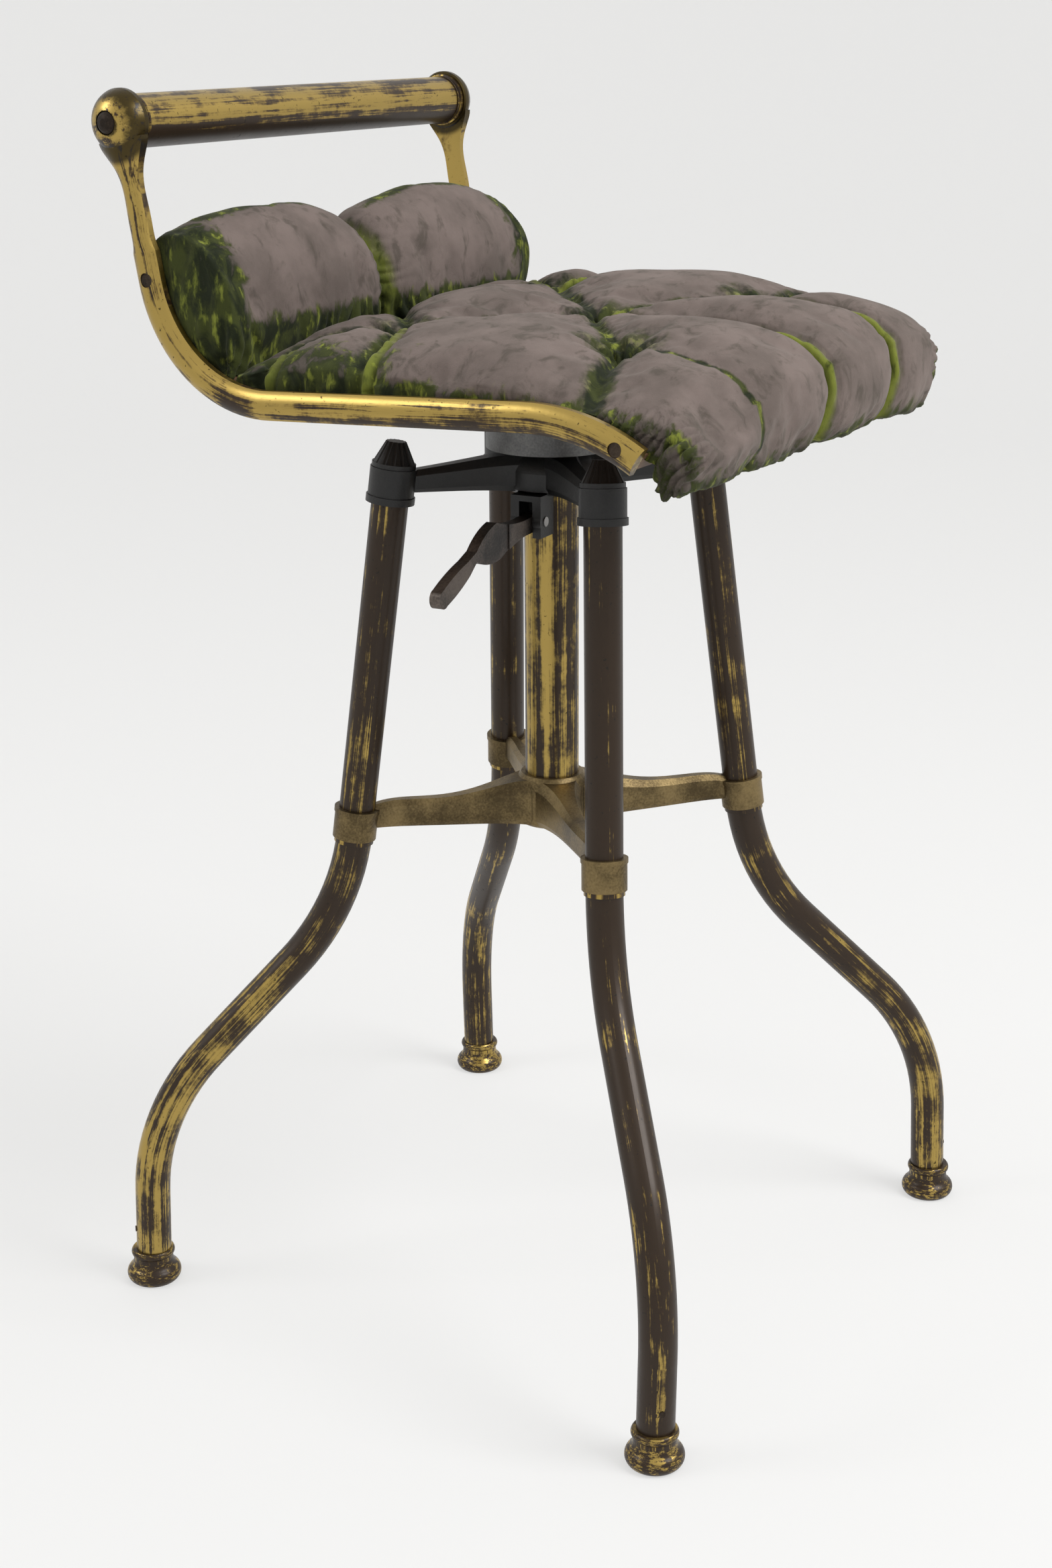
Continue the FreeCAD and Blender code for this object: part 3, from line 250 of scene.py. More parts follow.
def build_world():
    world = bpy.data.worlds.new("studio")
    scene.world = world
    world.use_nodes = True
    ambient = world.node_tree.nodes["Background"]
    ambient.inputs["Color"].default_value = (1.0, 0.99, 0.97, 1.0)
    ambient.inputs["Strength"].default_value = 0.82


def soft_lamp(name, azimuth, elevation, distance, size, power):
    """A square soft box that looks at the seat from an azimuth measured as the camera's is."""
    data = bpy.data.lights.new(name, "AREA")
    data.shape = "SQUARE"
    data.size = size
    data.energy = power
    lamp = bpy.data.objects.new(name, data)
    scene.collection.objects.link(lamp)
    turn = Euler((math.pi / 2 - math.radians(elevation), 0.0, math.radians(azimuth))).to_matrix().to_4x4()
    aim = Matrix.Translation((0.0, 0.0, 0.3))
    lamp.matrix_world = aim @ turn @ Matrix.Translation((0.0, 0.0, distance))


build_dish()
build_world()
soft_lamp("key_lamp", azimuth=8.0, elevation=46.0, distance=2.1, size=1.0, power=32.0)
soft_lamp("fill_lamp", azimuth=-140.0, elevation=38.0, distance=2.2, size=0.7, power=9.0)
scene.view_settings.view_transform = "Standard"
print("studio ready")

# %% [markdown]
# The legs, feet and column are brass tube that was lacquered brown, and has worn through in streaks.
# Wear runs along a tube, so the streaks are a noise on the way that the surface faces: on a tube that
# stays the same from end to end, round bends too. A second noise on the place breaks them into patches.

# %% Write the brass finishes
GOLD = (0.42, 0.295, 0.082)
BRONZE = (0.175, 0.108, 0.034)
BROWN = (0.026, 0.014, 0.006)
SOOT_AND_SHADE = (0.008, 0.007, 0.006)


def worn_brass(name, gold, brown, seed, under=0.25, climb=0.0):
    """Lacquered brass tube. gold and brown are the shares of bare metal and of dark lacquer.

    under darkens what faces down, as painted shade. climb darkens what stands higher.
    """
    brass = Finish(name, Metallic=1.0, Coat_Weight=0.12, Coat_Roughness=0.2, Specular_IOR_Level=0.35)
    place = brass.place()
    facing = brass.facing()
    along = brass.stretched(place, (5.0, 5.0, 3.0))
    round_it = brass.summed(brass.stretched(facing, (2.2, 2.2, 2.2)), along)
    shifted = brass.summed(round_it, (seed, seed * 1.7, seed * 0.6))
    streak = brass.noise(shifted, 1.6, 4.0, 0.6)
    fine_streak = brass.noise(shifted, 6.5, 3.0, 0.6)
    patch = brass.noise(brass.summed(place, (seed, 0.0, 0.0)), 46.0, 5.0, 0.65)
    speck = brass.noise(place, 420.0, 3.0, 0.6)
    height = brass.node("ShaderNodeSeparateXYZ", {}, {0: place}, 2)
    # painted shade: a mask of what faces down, which pushes the brass there towards the dark lacquer colour
    down = brass.node("ShaderNodeSeparateXYZ", {}, {0: facing}, 2).ramp(0.1, -0.9)
    level = streak * 0.46 + fine_streak * 0.22 + patch * 0.34 + speck * 0.08 - 0.05
    level = level - down * under * 0.16 - height.ramp(0.05, 0.42) * climb * 0.10
    bare = level.ramp(0.55 - 0.2 * gold, 0.65 - 0.2 * gold)
    dark = (1.0 - level).ramp(0.56 - 0.2 * brown, 0.65 - 0.2 * brown)
    colour = brass.mixed(bare, BRONZE, GOLD)
    colour = brass.mixed(dark, colour, BROWN)
    pits = speck.ramp(0.64, 0.72)
    colour = brass.mixed(pits * 0.8, colour, SOOT_AND_SHADE)
    brass.feed("Base Color", colour)
    brass.feed("Metallic", 1.0 - dark * 0.7)
    brass.feed("Roughness", 0.26 + patch * 0.16 + dark * 0.08 + pits * 0.2)
    brass.bump(speck * 0.6 + patch, 0.12, 0.0006)
    return brass


BRASSES = {
    "leg_front_right": worn_brass("brass_nearly_black", 0.20, 0.95, 3.0, climb=0.3),
    "leg_front_left": worn_brass("brass_brown_streaked", 0.40, 0.72, 11.0, climb=0.5),
    "leg_back_left": worn_brass("brass_brown_patched", 0.50, 0.66, 23.0, climb=0.8),
    "leg_back_right": worn_brass("brass_golden_streaked", 0.66, 0.58, 37.0, climb=0.8),
    "column_tube": worn_brass("brass_column", 0.72, 0.55, 51.0),
    # The rail and the bar get the most painted shade on what faces down.
    "handrail_tube": worn_brass("brass_rail", 0.60, 0.44, 63.0, under=1.2),
    "side_bar": worn_brass("brass_bar", 0.84, 0.18, 77.0, under=0.6),
    "foot": worn_brass("brass_feet", 0.40, 0.66, 85.0),
    "ring": worn_brass("brass_rings", 0.30, 0.66, 91.0),
}
BOSS_BACK = 0.1535
BOSS_HEIGHT = 0.6185


def darken_bosses(brass):
    """A dark ring on the rims of the two round bosses, and painted shade in the hollow round each nut."""
    place = brass.place()
    centre = (0.0, BOSS_BACK, BOSS_HEIGHT)
    away = brass.node("ShaderNodeVectorMath", {"operation": "SUBTRACT"}, {0: place, 1: centre})
    flat = brass.stretched(away, (0.0, 1.0, 1.0))
    radius = brass.node("ShaderNodeVectorMath", {"operation": "LENGTH"}, {0: flat}, 1)
    ragged = radius + brass.noise(place, 180.0, 4.0, 0.65) * 0.008 - 0.004
    rim = ragged.ramp(0.0085, 0.0125) * (1.0 - radius.ramp(0.0175, 0.021))
    # painted shade: the hollow round the nut is mixed towards the dark colour
    hollow_shade = 1.0 - ragged.ramp(0.0052, 0.0066)
    base = brass.shader.inputs["Base Color"].links[0].from_socket
    colour = brass.mixed(rim.most(hollow_shade) * 0.86, Signal(brass, base), SOOT_AND_SHADE)
    brass.feed("Base Color", colour)


darken_bosses(BRASSES["side_bar"])
print("brass finishes", len(BRASSES))

# %% [markdown]
# The lower spider is cast bronze left dull, the upper one is cast iron under black japan, and the seat
# plate is grey iron. Cast skin is a fine even grain, so each gets one fine bump and a slow change of
# colour. The few bright parts are turned steel, and the seat shell is bent plywood.

# %% Write the cast and plain finishes


def cast_skin(name, low_colour, high_colour, metallic, roughness, grain=900.0, depth=0.0004):
    skin = Finish(name, Metallic=metallic)
    place = skin.place()
    slow = skin.noise(place, 30.0, 4.0, 0.6)
    fine = skin.noise(place, grain, 2.0, 0.5)
    wear = (slow * 0.75 + fine * 0.25).ramp(0.36, 0.66)
    skin.feed("Base Color", skin.mixed(wear, low_colour, high_colour))
    skin.feed("Roughness", roughness + slow * 0.12 - 0.06)
    skin.bump(fine + slow * 0.5, 0.25, depth)
    return skin.material


def bent_wood():
    wood = Finish("bent_plywood", Roughness=0.55)
    grain = wood.noise(wood.stretched(wood.place(), (30.0, 420.0, 420.0)), 1.0, 5.0, 0.6, 0.4)
    wood.feed("Base Color", wood.mixed(grain.ramp(0.35, 0.7), (0.105, 0.055, 0.027), (0.215, 0.125, 0.062)))
    wood.bump(grain, 0.15, 0.0004)
    return wood.material


OLIVE_BRONZE = cast_skin("olive_bronze", (0.070, 0.050, 0.024), (0.24, 0.175, 0.080), 0.9, 0.44)
BLACK_JAPAN = cast_skin("black_japan", (0.003, 0.003, 0.003), (0.009, 0.008, 0.007), 0.0, 0.44)
GREY_IRON = cast_skin("grey_iron", (0.10, 0.10, 0.10), (0.20, 0.20, 0.195), 0.7, 0.5)
BRIGHT_STEEL = cast_skin("turned_steel", (0.30, 0.29, 0.28), (0.48, 0.47, 0.46), 1.0, 0.3, 1500.0, 0.0001)
LEVER_IRON = cast_skin("lever_iron", (0.030, 0.026, 0.024), (0.16, 0.13, 0.11), 0.8, 0.42)
DARK_SCREW = cast_skin("dark_screws", (0.02, 0.014, 0.010), (0.07, 0.05, 0.035), 0.8, 0.45)
PLYWOOD = bent_wood()
print("cast finishes ready")

# %% [markdown]
# Each node of the frame has a name that starts with what it is, so one short table of name starts and
# finishes dresses them all. The four legs have their own finish each, because each has worn in its own way.

# %% Put each finish on its pieces
STARTS = {
    "leg_cap_nut": BLACK_JAPAN,
    "leg_front_right": BRASSES["leg_front_right"].material,
    "leg_front_left": BRASSES["leg_front_left"].material,
    "leg_back_left": BRASSES["leg_back_left"].material,
    "leg_back_right": BRASSES["leg_back_right"].material,
    "foot_pin": DARK_SCREW,
    "foot": BRASSES["foot"].material,
    "collar": BRASSES["ring"].material,
    "rail_ring": BRASSES["ring"].material,
    "guide_bush": BRASSES["ring"].material,
    "column_tube": BRASSES["column_tube"].material,
    "handrail": BRASSES["handrail_tube"].material,
    "side_bar": BRASSES["side_bar"].material,
    "lower_spider": OLIVE_BRONZE,
    "upper_spider": BLACK_JAPAN,
    "seat_plate": GREY_IRON,
    "clamp_lever": LEVER_IRON,
    "seat_shell": PLYWOOD,
    "bar_screw": DARK_SCREW,
    "rail_nut": DARK_SCREW,
}


def dress_nodes():
    """Gives every node the finish whose key its name starts with, and steel where none does."""
    for name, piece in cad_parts.items():
        found = [finish for start, finish in STARTS.items() if name.startswith(start)]
        finish = found[0] if found else BRIGHT_STEEL
        for place in range(len(piece.material_slots)):
            piece.material_slots[place].material = finish


dress_nodes()
print("nodes", sorted(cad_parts))

# %% [markdown]
# A cushion starts as a box of fine square cells, because a box keeps track of which point is top, side or
# underside. Each cell is then laid onto the cushion's section: four curves for the underside, the front,
# the top and the back, blended inside. The cloth simulation later gives the fabric its own shape.

# %% Skin of a box as a grid of cells


def box_skin(counts):
    """Points and quads on the six sides of a box, with points in -1..1 and shared at the edges."""
    index = {}
    points = []
    quads = []

    def corner(cell):
        if cell not in index:
            index[cell] = len(points)
            points.append([2.0 * cell[axis] / counts[axis] - 1.0 for axis in range(3)])
        return index[cell]

    for axis in range(3):
        first, second = (axis + 1) % 3, (axis + 2) % 3
        for end in (0, counts[axis]):
            for i in range(counts[first]):
                for j in range(counts[second]):
                    ring = []
                    for di, dj in ((0, 0), (1, 0), (1, 1), (0, 1)):
                        cell = [0, 0, 0]
                        cell[axis] = end
                        cell[first] = i + di
                        cell[second] = j + dj
                        ring.append(corner(tuple(cell)))
                    quads.append(ring if end else ring[::-1])
    return np.array(points), quads


def smooth_curve(points, share):
    """Points along a smooth curve through a few given ones, at shares of its length."""
    given = np.array(points, float)
    lengths = np.linalg.norm(np.diff(given, axis=0), axis=1)
    knots = np.concatenate([[0.0], np.cumsum(lengths)]) / lengths.sum()
    slopes = np.gradient(given, knots, axis=0)
    step = np.clip(np.searchsorted(knots, share, side="right") - 1, 0, len(knots) - 2)
    gap = knots[step + 1] - knots[step]
    part = ((share - knots[step]) / gap)[:, None]
    gap = gap[:, None]
    near, far = given[step], given[step + 1]
    to_far = 3 * part ** 2 - 2 * part ** 3
    leaving = (part ** 3 - 2 * part ** 2 + part) * gap * slopes[step]
    arriving = (part ** 3 - part ** 2) * gap * slopes[step + 1]
    return (1 - to_far) * near + to_far * far + leaving + arriving


def section_point(cells, under, front, top, back):
    """Lays cells (b, c) in 0..1 onto a section whose four sides are curves of (y, z)."""
    b, c = cells
    low, high = smooth_curve(under, b), smooth_curve(top, b)
    near, far = smooth_curve(front, c), smooth_curve(back, c)
    b, c = b[:, None], c[:, None]
    blend = (1 - c) * low + c * high + (1 - b) * near + b * far
    corners = ((1 - b) * (1 - c) * np.array(under[0]) + b * (1 - c) * np.array(under[-1])
               + (1 - b) * c * np.array(top[0]) + b * c * np.array(top[-1]))
    return blend - corners


print("box skin of a small box has", len(box_skin((2, 2, 2))[1]), "quads")

# %% [markdown]
# The seat pad is horsehair under velvet, drawn down by five buttons. Folds run from button to button
# and from the buttons to the edges, and the stuffing swells between them. The folds are broken lines on
# the plan with a depth each, so one list describes them all, in millimetres, and the distance to the
# nearest one shapes the swell, the gathers and the wear of the nap alike.

# %% Lay out the seat's tufts and folds
PAD_HALF = 138.2
FRONT_TUFT = (72.0, -80.0)
BACK_TUFT = (72.0, 40.0)
MIDDLE_TUFT = (0.0, -27.0)
CLEFT_FOOT = (0.0, 97.0)


def mirrored(line):
    return [(-x, y) for x, y in line]


def fold(line, depth, sides=2, pleat=0.0):
    """One fold, or the two that mirror each other. depth is in millimetres, pleat a share of a full pleat."""
    made = [{"line": line, "depth": depth, "pleat": pleat}]
    if sides == 2:
        made.append({"line": mirrored(line), "depth": depth, "pleat": pleat})
    return made


SEAT_FOLDS = fold([FRONT_TUFT, (40.0, -50.0), MIDDLE_TUFT], 6.0)
SEAT_FOLDS += fold([MIDDLE_TUFT, (38.0, 10.0), BACK_TUFT], 6.0)
SEAT_FOLDS += fold([BACK_TUFT, (34.0, 66.0), CLEFT_FOOT], 7.0)
SEAT_FOLDS += fold([FRONT_TUFT, (105.0, -90.0), (150.0, -104.0)], 9.0)
SEAT_FOLDS += fold([BACK_TUFT, (100.0, 30.0), (150.0, 22.0)], 8.0, pleat=1.0)
SEAT_FOLDS += fold([BACK_TUFT, (98.0, 74.0), (150.0, 82.0)], 8.0, pleat=0.7)
SEAT_FOLDS += fold([MIDDLE_TUFT, (2.0, -90.0), (0.0, -175.0)], 10.0, 1, 1.0)
SEAT_FOLDS += fold([FRONT_TUFT, (76.0, -120.0), (77.0, -175.0)], 9.0, 1, 1.0)
SEAT_FOLDS += fold([(-72.0, -80.0), (-75.0, -120.0), (-77.0, -175.0)], 2.2, 1)
SEAT_TUFTS = [MIDDLE_TUFT, FRONT_TUFT, BACK_TUFT] + mirrored([FRONT_TUFT, BACK_TUFT])


def rise(values, start, end):
    """0 up to start, 1 from end on, and a straight climb between. start may be above end."""
    return np.clip((values - start) / (end - start), 0.0, 1.0)


def smooth_rise(values, start, end):
    share = rise(values, start, end)
    return share * share * (3.0 - 2.0 * share)


def line_distance(plan, line):
    """Signed distance of each plan point to a broken line, and how far along it the nearest place is."""
    best = np.full(len(plan), 1e9)
    side = np.ones(len(plan))
    along = np.zeros(len(plan))
    done = 0.0
    for start, end in zip(line[:-1], line[1:]):
        start, end = np.array(start), np.array(end)
        run = end - start
        length = np.linalg.norm(run)
        away = plan - start
        share = np.clip(away @ run / length ** 2, 0.0, 1.0)
        gap = np.linalg.norm(away - share[:, None] * run, axis=1)
        closer = gap < best
        best[closer] = gap[closer]
        side[closer] = np.sign(run[0] * away[:, 1] - run[1] * away[:, 0])[closer]
        along[closer] = (done + share * length)[closer]
        done += length
    return best * side, along


def fold_map(plan, folds):
    """What each plan point needs to know of its nearest fold, by name."""
    names = ("signed", "along", "depth", "pleat")
    best = np.full(len(plan), 1e9)
    found = {name: np.zeros(len(plan)) for name in names}
    for number, crease in enumerate(folds):
        signed, along = line_distance(plan, crease["line"])
        closer = np.abs(signed) < best
        best[closer] = np.abs(signed)[closer]
        found["signed"][closer] = signed[closer]
        found["along"][closer] = along[closer] + 1000.0 * number
        found["depth"][closer] = crease["depth"]
        found["pleat"][closer] = crease["pleat"]
    found["gap"] = best
    return found


def sink(plan, folds, reach):
    """How far the folds draw the velvet down, deepest of all folds, with a round shoulder."""
    deepest = np.zeros(len(plan))
    for crease in folds:
        gap = np.abs(line_distance(plan, crease["line"])[0])
        deepest = np.maximum(deepest, crease["depth"] * np.exp(-gap / reach))
    return deepest


def tuft_map(plan, tufts):
    """For each plan point: gap to the nearest tuft, the angle round it and the tuft's number."""
    gaps = np.array([np.hypot(plan[:, 0] - x, plan[:, 1] - y) for x, y in tufts])
    nearest = gaps.argmin(0)
    centres = np.array(tufts)[nearest]
    angle = np.arctan2(plan[:, 1] - centres[:, 1], plan[:, 0] - centres[:, 0])
    return gaps.min(0), angle, nearest


print("folds", len(SEAT_FOLDS), "tufts", len(SEAT_TUFTS))

# %% [markdown]
# The stuffing is simulated. The velvet is pinned along the folds, at the buttons and under the seat, and
# air pressure fills the rest, as horsehair does. The cloth may grow a little, so that it has length to
# wrinkle with. How far a point may move is capped, so the pad stays in the room that it has.

# %% Simulate a stuffed skin


def new_piece(name, points, faces):
    mesh = bpy.data.meshes.new(name)
    mesh.from_pydata([tuple(point) for point in points], [], faces)
    mesh.update()
    made = bpy.data.objects.new(name, mesh)
    scene.collection.objects.link(made)
    return made


def read_points(mesh):
    flat = np.zeros(len(mesh.vertices) * 3, np.float32)
    mesh.vertices.foreach_get("co", flat)
    return flat.reshape(-1, 3).astype(float)


def write_points(mesh, points):
    mesh.vertices.foreach_set("co", np.asarray(points, np.float32).ravel())
    mesh.update()


def read_normals(mesh):
    flat = np.zeros(len(mesh.vertices) * 3, np.float32)
    mesh.vertex_normals.foreach_get("vector", flat)
    return flat.reshape(-1, 3).astype(float)


def evaluated_mesh(piece):
    """The piece's mesh with its modifiers applied, as a new mesh."""
    return bpy.data.meshes.new_from_object(piece.evaluated_get(bpy.context.evaluated_depsgraph_get()))


def stuff(piece, held, pressure, growth, cap, frames=20):
    """Puffs a skin up with its held points pinned, and moves no point further than the cap."""
    start = read_points(piece.data)
    group = piece.vertex_groups.new(name="held")
    for index, weight in enumerate(held):
        if weight > 0.0:
            group.add([index], float(weight), "REPLACE")
    cloth = piece.modifiers.new("cloth", "CLOTH")
    settings = cloth.settings
    settings.quality = 6
    settings.mass = 0.25
    settings.tension_stiffness = 18.0
    settings.compression_stiffness = 12.0
    settings.shear_stiffness = 6.0
    settings.bending_stiffness = 0.5
    settings.vertex_group_mass = "held"
    settings.use_pressure = True
    settings.uniform_pressure_force = pressure
    settings.shrink_min = -growth
    settings.effector_weights.gravity = 0.0
    cloth.collision_settings.use_collision = False
    for moment in range(1, frames + 1):
        scene.frame_set(moment)
    settled = evaluated_mesh(piece)
    move = read_points(settled) - start
    piece.modifiers.remove(cloth)
    bpy.data.meshes.remove(settled)
    piece.vertex_groups.clear()
    length = np.linalg.norm(move, axis=1)
    keep = np.minimum(1.0, cap / np.maximum(length, 1e-9))
    write_points(piece.data, start + move * keep[:, None])
    scene.frame_set(1)
    print(piece.name, "swelled by up to", round(float(length.max()) * 1000, 1), "mm before its cap")


def subdivided(piece):
    """One subdivision, applied, so that gathers finer than the simulated cloth have cells to live in."""
    finer = piece.modifiers.new("subdivision", "SUBSURF")
    finer.levels = 1
    finer.render_levels = 1
    smooth = evaluated_mesh(piece)
    piece.modifiers.remove(finer)
    old = piece.data
    piece.data = smooth
    bpy.data.meshes.remove(old)
    piece.data.polygons.foreach_set("use_smooth", [True] * len(piece.data.polygons))
    piece.data.update()


print("simulation ready")

# %% [markdown]
# Velvet that is drawn into a button gathers in short pleats like the rays of a star, and beside a fold it
# puckers across. Both are far finer than the simulated cloth, so they are added to it afterwards, as
# moves along the surface's own normal. Smooth noise keeps any two of them from being alike.

# %% Add gathers, puckers and pleats
RAY_COUNT = 9
RAY_REACH = 21.0
PUCKER_PITCH = 6.4
PLEAT_AWAY = 4.2
PLEAT_WIDE = 1.7


def wander(points, scale, seed):
    """Smooth noise at points in millimetres, about -1 to 1."""
    offset = Vector((seed * 17.0, seed * 5.0, seed * 11.0))
    return np.array([noise.noise(Vector(point) * scale + offset) for point in points]) * 1.6


def ridges(phase):
    """Rounded ridges with sharp valleys between them, from -1 in a valley to 1 on a ridge."""
    return 2.0 * np.abs(np.sin(phase)) - 1.0


def gathers(points, tufts, strength):
    """Rays of pleats round each tuft, as moves outwards in millimetres."""
    gap, angle, nearest = tuft_map(points[:, :2], tufts)
    bend = wander(points, 0.045, 2.0)
    uneven = 0.75 + 0.5 * wander(points, 0.06, 7.0)
    phase = angle * RAY_COUNT / 2.0 + nearest * 1.3 + bend * 1.5
    fade = np.exp(-gap / RAY_REACH * 1.6) * rise(gap, 0.0, 5.0)
    return strength * uneven * ridges(phase) * fade


def puckers(points, folds, strength, reach=8.0):
    """Short gathers that run across each fold, as moves outwards in millimetres."""
    near = fold_map(points[:, :2], folds)
    phase = near["along"] * math.pi / PUCKER_PITCH + wander(points, 0.07, 4.0) * 1.8
    uneven = np.clip(0.45 + 1.1 * wander(points, 0.03, 9.0), 0.0, 1.4)
    return strength * uneven * ridges(phase) * np.exp(-near["gap"] / reach)


def pleats(points, folds, strength):
    """The doubled edge of velvet along the main folds, as moves outwards in millimetres."""
    near = fold_map(points[:, :2], folds)
    away = near["signed"] - PLEAT_AWAY
    groove = (away - 3.0) / 1.2
    raised = np.exp(-(away / PLEAT_WIDE) ** 2) - 0.8 * np.exp(-groove ** 2)
    return strength * near["pleat"] * raised


def write_attribute(mesh, name, values):
    layer = mesh.attributes.new(name, "FLOAT", "POINT")
    layer.data.foreach_set("value", np.asarray(values, np.float32))


print("gathers ready")

# %% [markdown]
# The section of the seat pad follows the bent shell below, rolls over its front edge and is tacked under
# it. The sides are lower than the middle and rounder. Long use has pressed down the right side and its
# front corner most, so the top leans a little that way. Lengths are in millimetres.

# %% Build the seat pad's skin
SEAT_UNDER = [(-135.0, 468.0), (-134.0, 478.0), (-132.8, 484.6), (-112.0, 491.4), (-69.0, 497.4),
              (0.0, 494.4), (72.0, 491.4), (95.0, 495.0)]
SEAT_FRONT = [(-135.0, 468.0), (-140.0, 465.5), (-147.0, 467.5), (-154.0, 477.0), (-157.5, 492.0),
              (-154.5, 508.0)]
SEAT_TOP = [(-154.5, 508.0), (-142.0, 518.5), (-118.0, 524.5), (-70.0, 527.0), (0.0, 526.5), (60.0, 525.5),
            (84.0, 519.5), (95.0, 511.0)]
SEAT_BACK = [(95.0, 495.0), (96.0, 504.0), (95.0, 512.0)]
SEAT_CELLS = (96, 92, 18)
SIDE_START = 86.0
SIDE_KEPT = 0.22
SIDE_LEVEL = 500.0
SEAT_LEAN = 0.040
WORN_CORNER_DROOP = 13.0
OTHER_CORNER_DROOP = 4.0
NOSE_START = -128.0
NOSE_KEPT = 0.7


def seat_rest():
    """The seat pad before its folds: points in millimetres, quads, and which points are tacked down."""
    cells, quads = box_skin(SEAT_CELLS)
    half = (cells + 1.0) / 2.0
    section = section_point((half[:, 1], half[:, 2]), SEAT_UNDER, SEAT_FRONT, SEAT_TOP, SEAT_BACK)
    x = cells[:, 0] * (PAD_HALF - 2.6)
    y, z = section[:, 0].copy(), section[:, 1].copy()
    out = rise(np.abs(x), SIDE_START, PAD_HALF)
    round_off = np.sqrt(1.0 - (out * 0.985) ** 2)
    above = z > SIDE_LEVEL
    kept = SIDE_KEPT + (1.0 - SIDE_KEPT) * round_off
    z[above] = SIDE_LEVEL + (z[above] - SIDE_LEVEL) * kept[above]
    droop = smooth_rise(np.abs(x), 38.0, 138.0) * smooth_rise(y, -36.0, -148.0)
    droop *= np.where(x < 0.0, WORN_CORNER_DROOP, OTHER_CORNER_DROOP)
    z += (x * SEAT_LEAN - droop) * rise(z, 476.0, 510.0)
    ahead = y < NOSE_START
    kept = NOSE_KEPT + (1.0 - NOSE_KEPT) * round_off
    y[ahead] = NOSE_START + (y[ahead] - NOSE_START) * kept[ahead]
    tacked = (cells[:, 2] < -0.999) | (cells[:, 1] > 0.999)
    return np.stack([x, y, z], 1), quads, tacked


FOLD_REACH = 6.5
TUFT_DEPTHS = np.array([6.0, 8.0, 6.0, 8.0, 6.0])
TUFT_REACH = 13.0
WORN_FROM = 30.0
UPRIGHT_CRUSH = np.array([1.0, 1.0, 0.35])


def make_seat_pad():
    rest, quads, tacked = seat_rest()
    pad = new_piece("velvet_seat", rest * MM, quads)
    plan = rest[:, :2]
    near = fold_map(plan, SEAT_FOLDS)
    tuft_gap, _, tuft = tuft_map(plan, SEAT_TUFTS)
    edge = rise(np.abs(rest[:, 0]), 118.0, 138.0)
    push = sink(plan, SEAT_FOLDS, FOLD_REACH) * (1.0 - 0.5 * edge)
    push += TUFT_DEPTHS[tuft] * np.exp(-(tuft_gap / TUFT_REACH) ** 2)
    push[tacked] = 0.0
    write_points(pad.data, (rest - read_normals(pad.data) * push[:, None]) * MM)
    held = np.where(tacked, 1.0, 0.0)
    held = np.maximum(held, np.clip(1.5 - near["gap"] / 2.6, 0.0, 1.0) * rise(near["depth"], 0.0, 6.0))
    held = np.maximum(held, np.clip(1.6 - tuft_gap / 5.0, 0.0, 1.0))
    stuff(pad, held, pressure=3.2, growth=0.03, cap=0.0058)
    return pad


def detail_seat_pad(pad):
    """Adds the fine gathers, and keeps what the finish needs as attributes."""
    subdivided(pad)
    points = read_points(pad.data) / MM
    normals = read_normals(pad.data)
    near = fold_map(points[:, :2], SEAT_FOLDS)
    tuft_gap = tuft_map(points[:, :2], SEAT_TUFTS)[0]
    x, y, z = np.abs(points[:, 0]), points[:, 1], points[:, 2]
    upper = rise(z, 486.0, 496.0)
    low_side = rise(x, 126.0, 134.0) * rise(z, 514.0, 502.0)
    nose_low = rise(y, -128.0, -138.0) * rise(z, 486.0, 470.0)
    corner = rise(y, -88.0, -104.0) * rise(x, 118.0, 130.0)
    move = gathers(points, SEAT_TUFTS, 4.2) * upper
    move += puckers(points, SEAT_FOLDS, 0.9) * upper
    move += pleats(points, SEAT_FOLDS, 2.4) * upper
    move += wander(points * UPRIGHT_CRUSH, 0.22, 12.0) * np.maximum(low_side, nose_low)
    crease = ridges((y * 0.55 + z * 0.5) + wander(points, 0.09, 21.0) * 2.0)
    move += crease * 1.3 * corner * rise(z, 512.0, 498.0)
    move += wander(points, 0.035, 30.0) * 0.7 * upper
    write_points(pad.data, (points + normals * move[:, None]) * MM)
    fold_gap = near["gap"] / np.clip(near["depth"] / 8.0, 0.25, 1.0)
    write_attribute(pad.data, "swell", rise(np.minimum(fold_gap, tuft_gap * 0.36), 0.0, WORN_FROM))
    to_rear = smooth_rise(y, -30.0, 30.0)
    rear_band = rise(x, 108.0, 128.0) * to_rear * 0.6
    kept_green = [low_side * (0.55 + 0.45 * to_rear), nose_low * 0.6, rear_band]
    write_attribute(pad.data, "skirt", np.maximum.reduce(kept_green))
    # pleat marks a strip beside each pleat's doubled edge, where the finish paints a yellow-green sheen
    # highlight
    beside = (near["signed"] - PLEAT_AWAY) / (PLEAT_WIDE * 1.5)
    write_attribute(pad.data, "pleat", near["pleat"] * np.exp(-beside ** 2))


seat_pad = make_seat_pad()
detail_seat_pad(seat_pad)
print("seat pad faces", len(seat_pad.data.polygons))

# %% [markdown]
# The back pad has two lobes that meet in a cleft, and rolls over the top of the shell between the uprights.
# It is made as the seat is, from a section and a fold, with the cleft as its only fold.

# %% Build the back pad's skin
BACK_UNDER = [(99.5, 500.2), (108.0, 500.2)]
BACK_FRONT = [(99.5, 500.2), (97.0, 516.0), (95.0, 536.0), (99.0, 553.0), (108.0, 566.0)]
BACK_TOP = [(108.0, 566.0), (118.0, 573.5), (128.0, 576.0), (140.0, 572.5), (147.0, 563.0)]
BACK_BEHIND = [(108.0, 500.2), (121.0, 511.0), (131.5, 525.0), (138.4, 540.6), (146.2, 550.0), (147.0, 563.0)]
BACK_CELLS = (96, 16, 30)
BACK_FOLDS = fold([(0.0, 80.0), (0.0, 160.0)], 13.0, 1)
LOBE_FOOT = 524.0


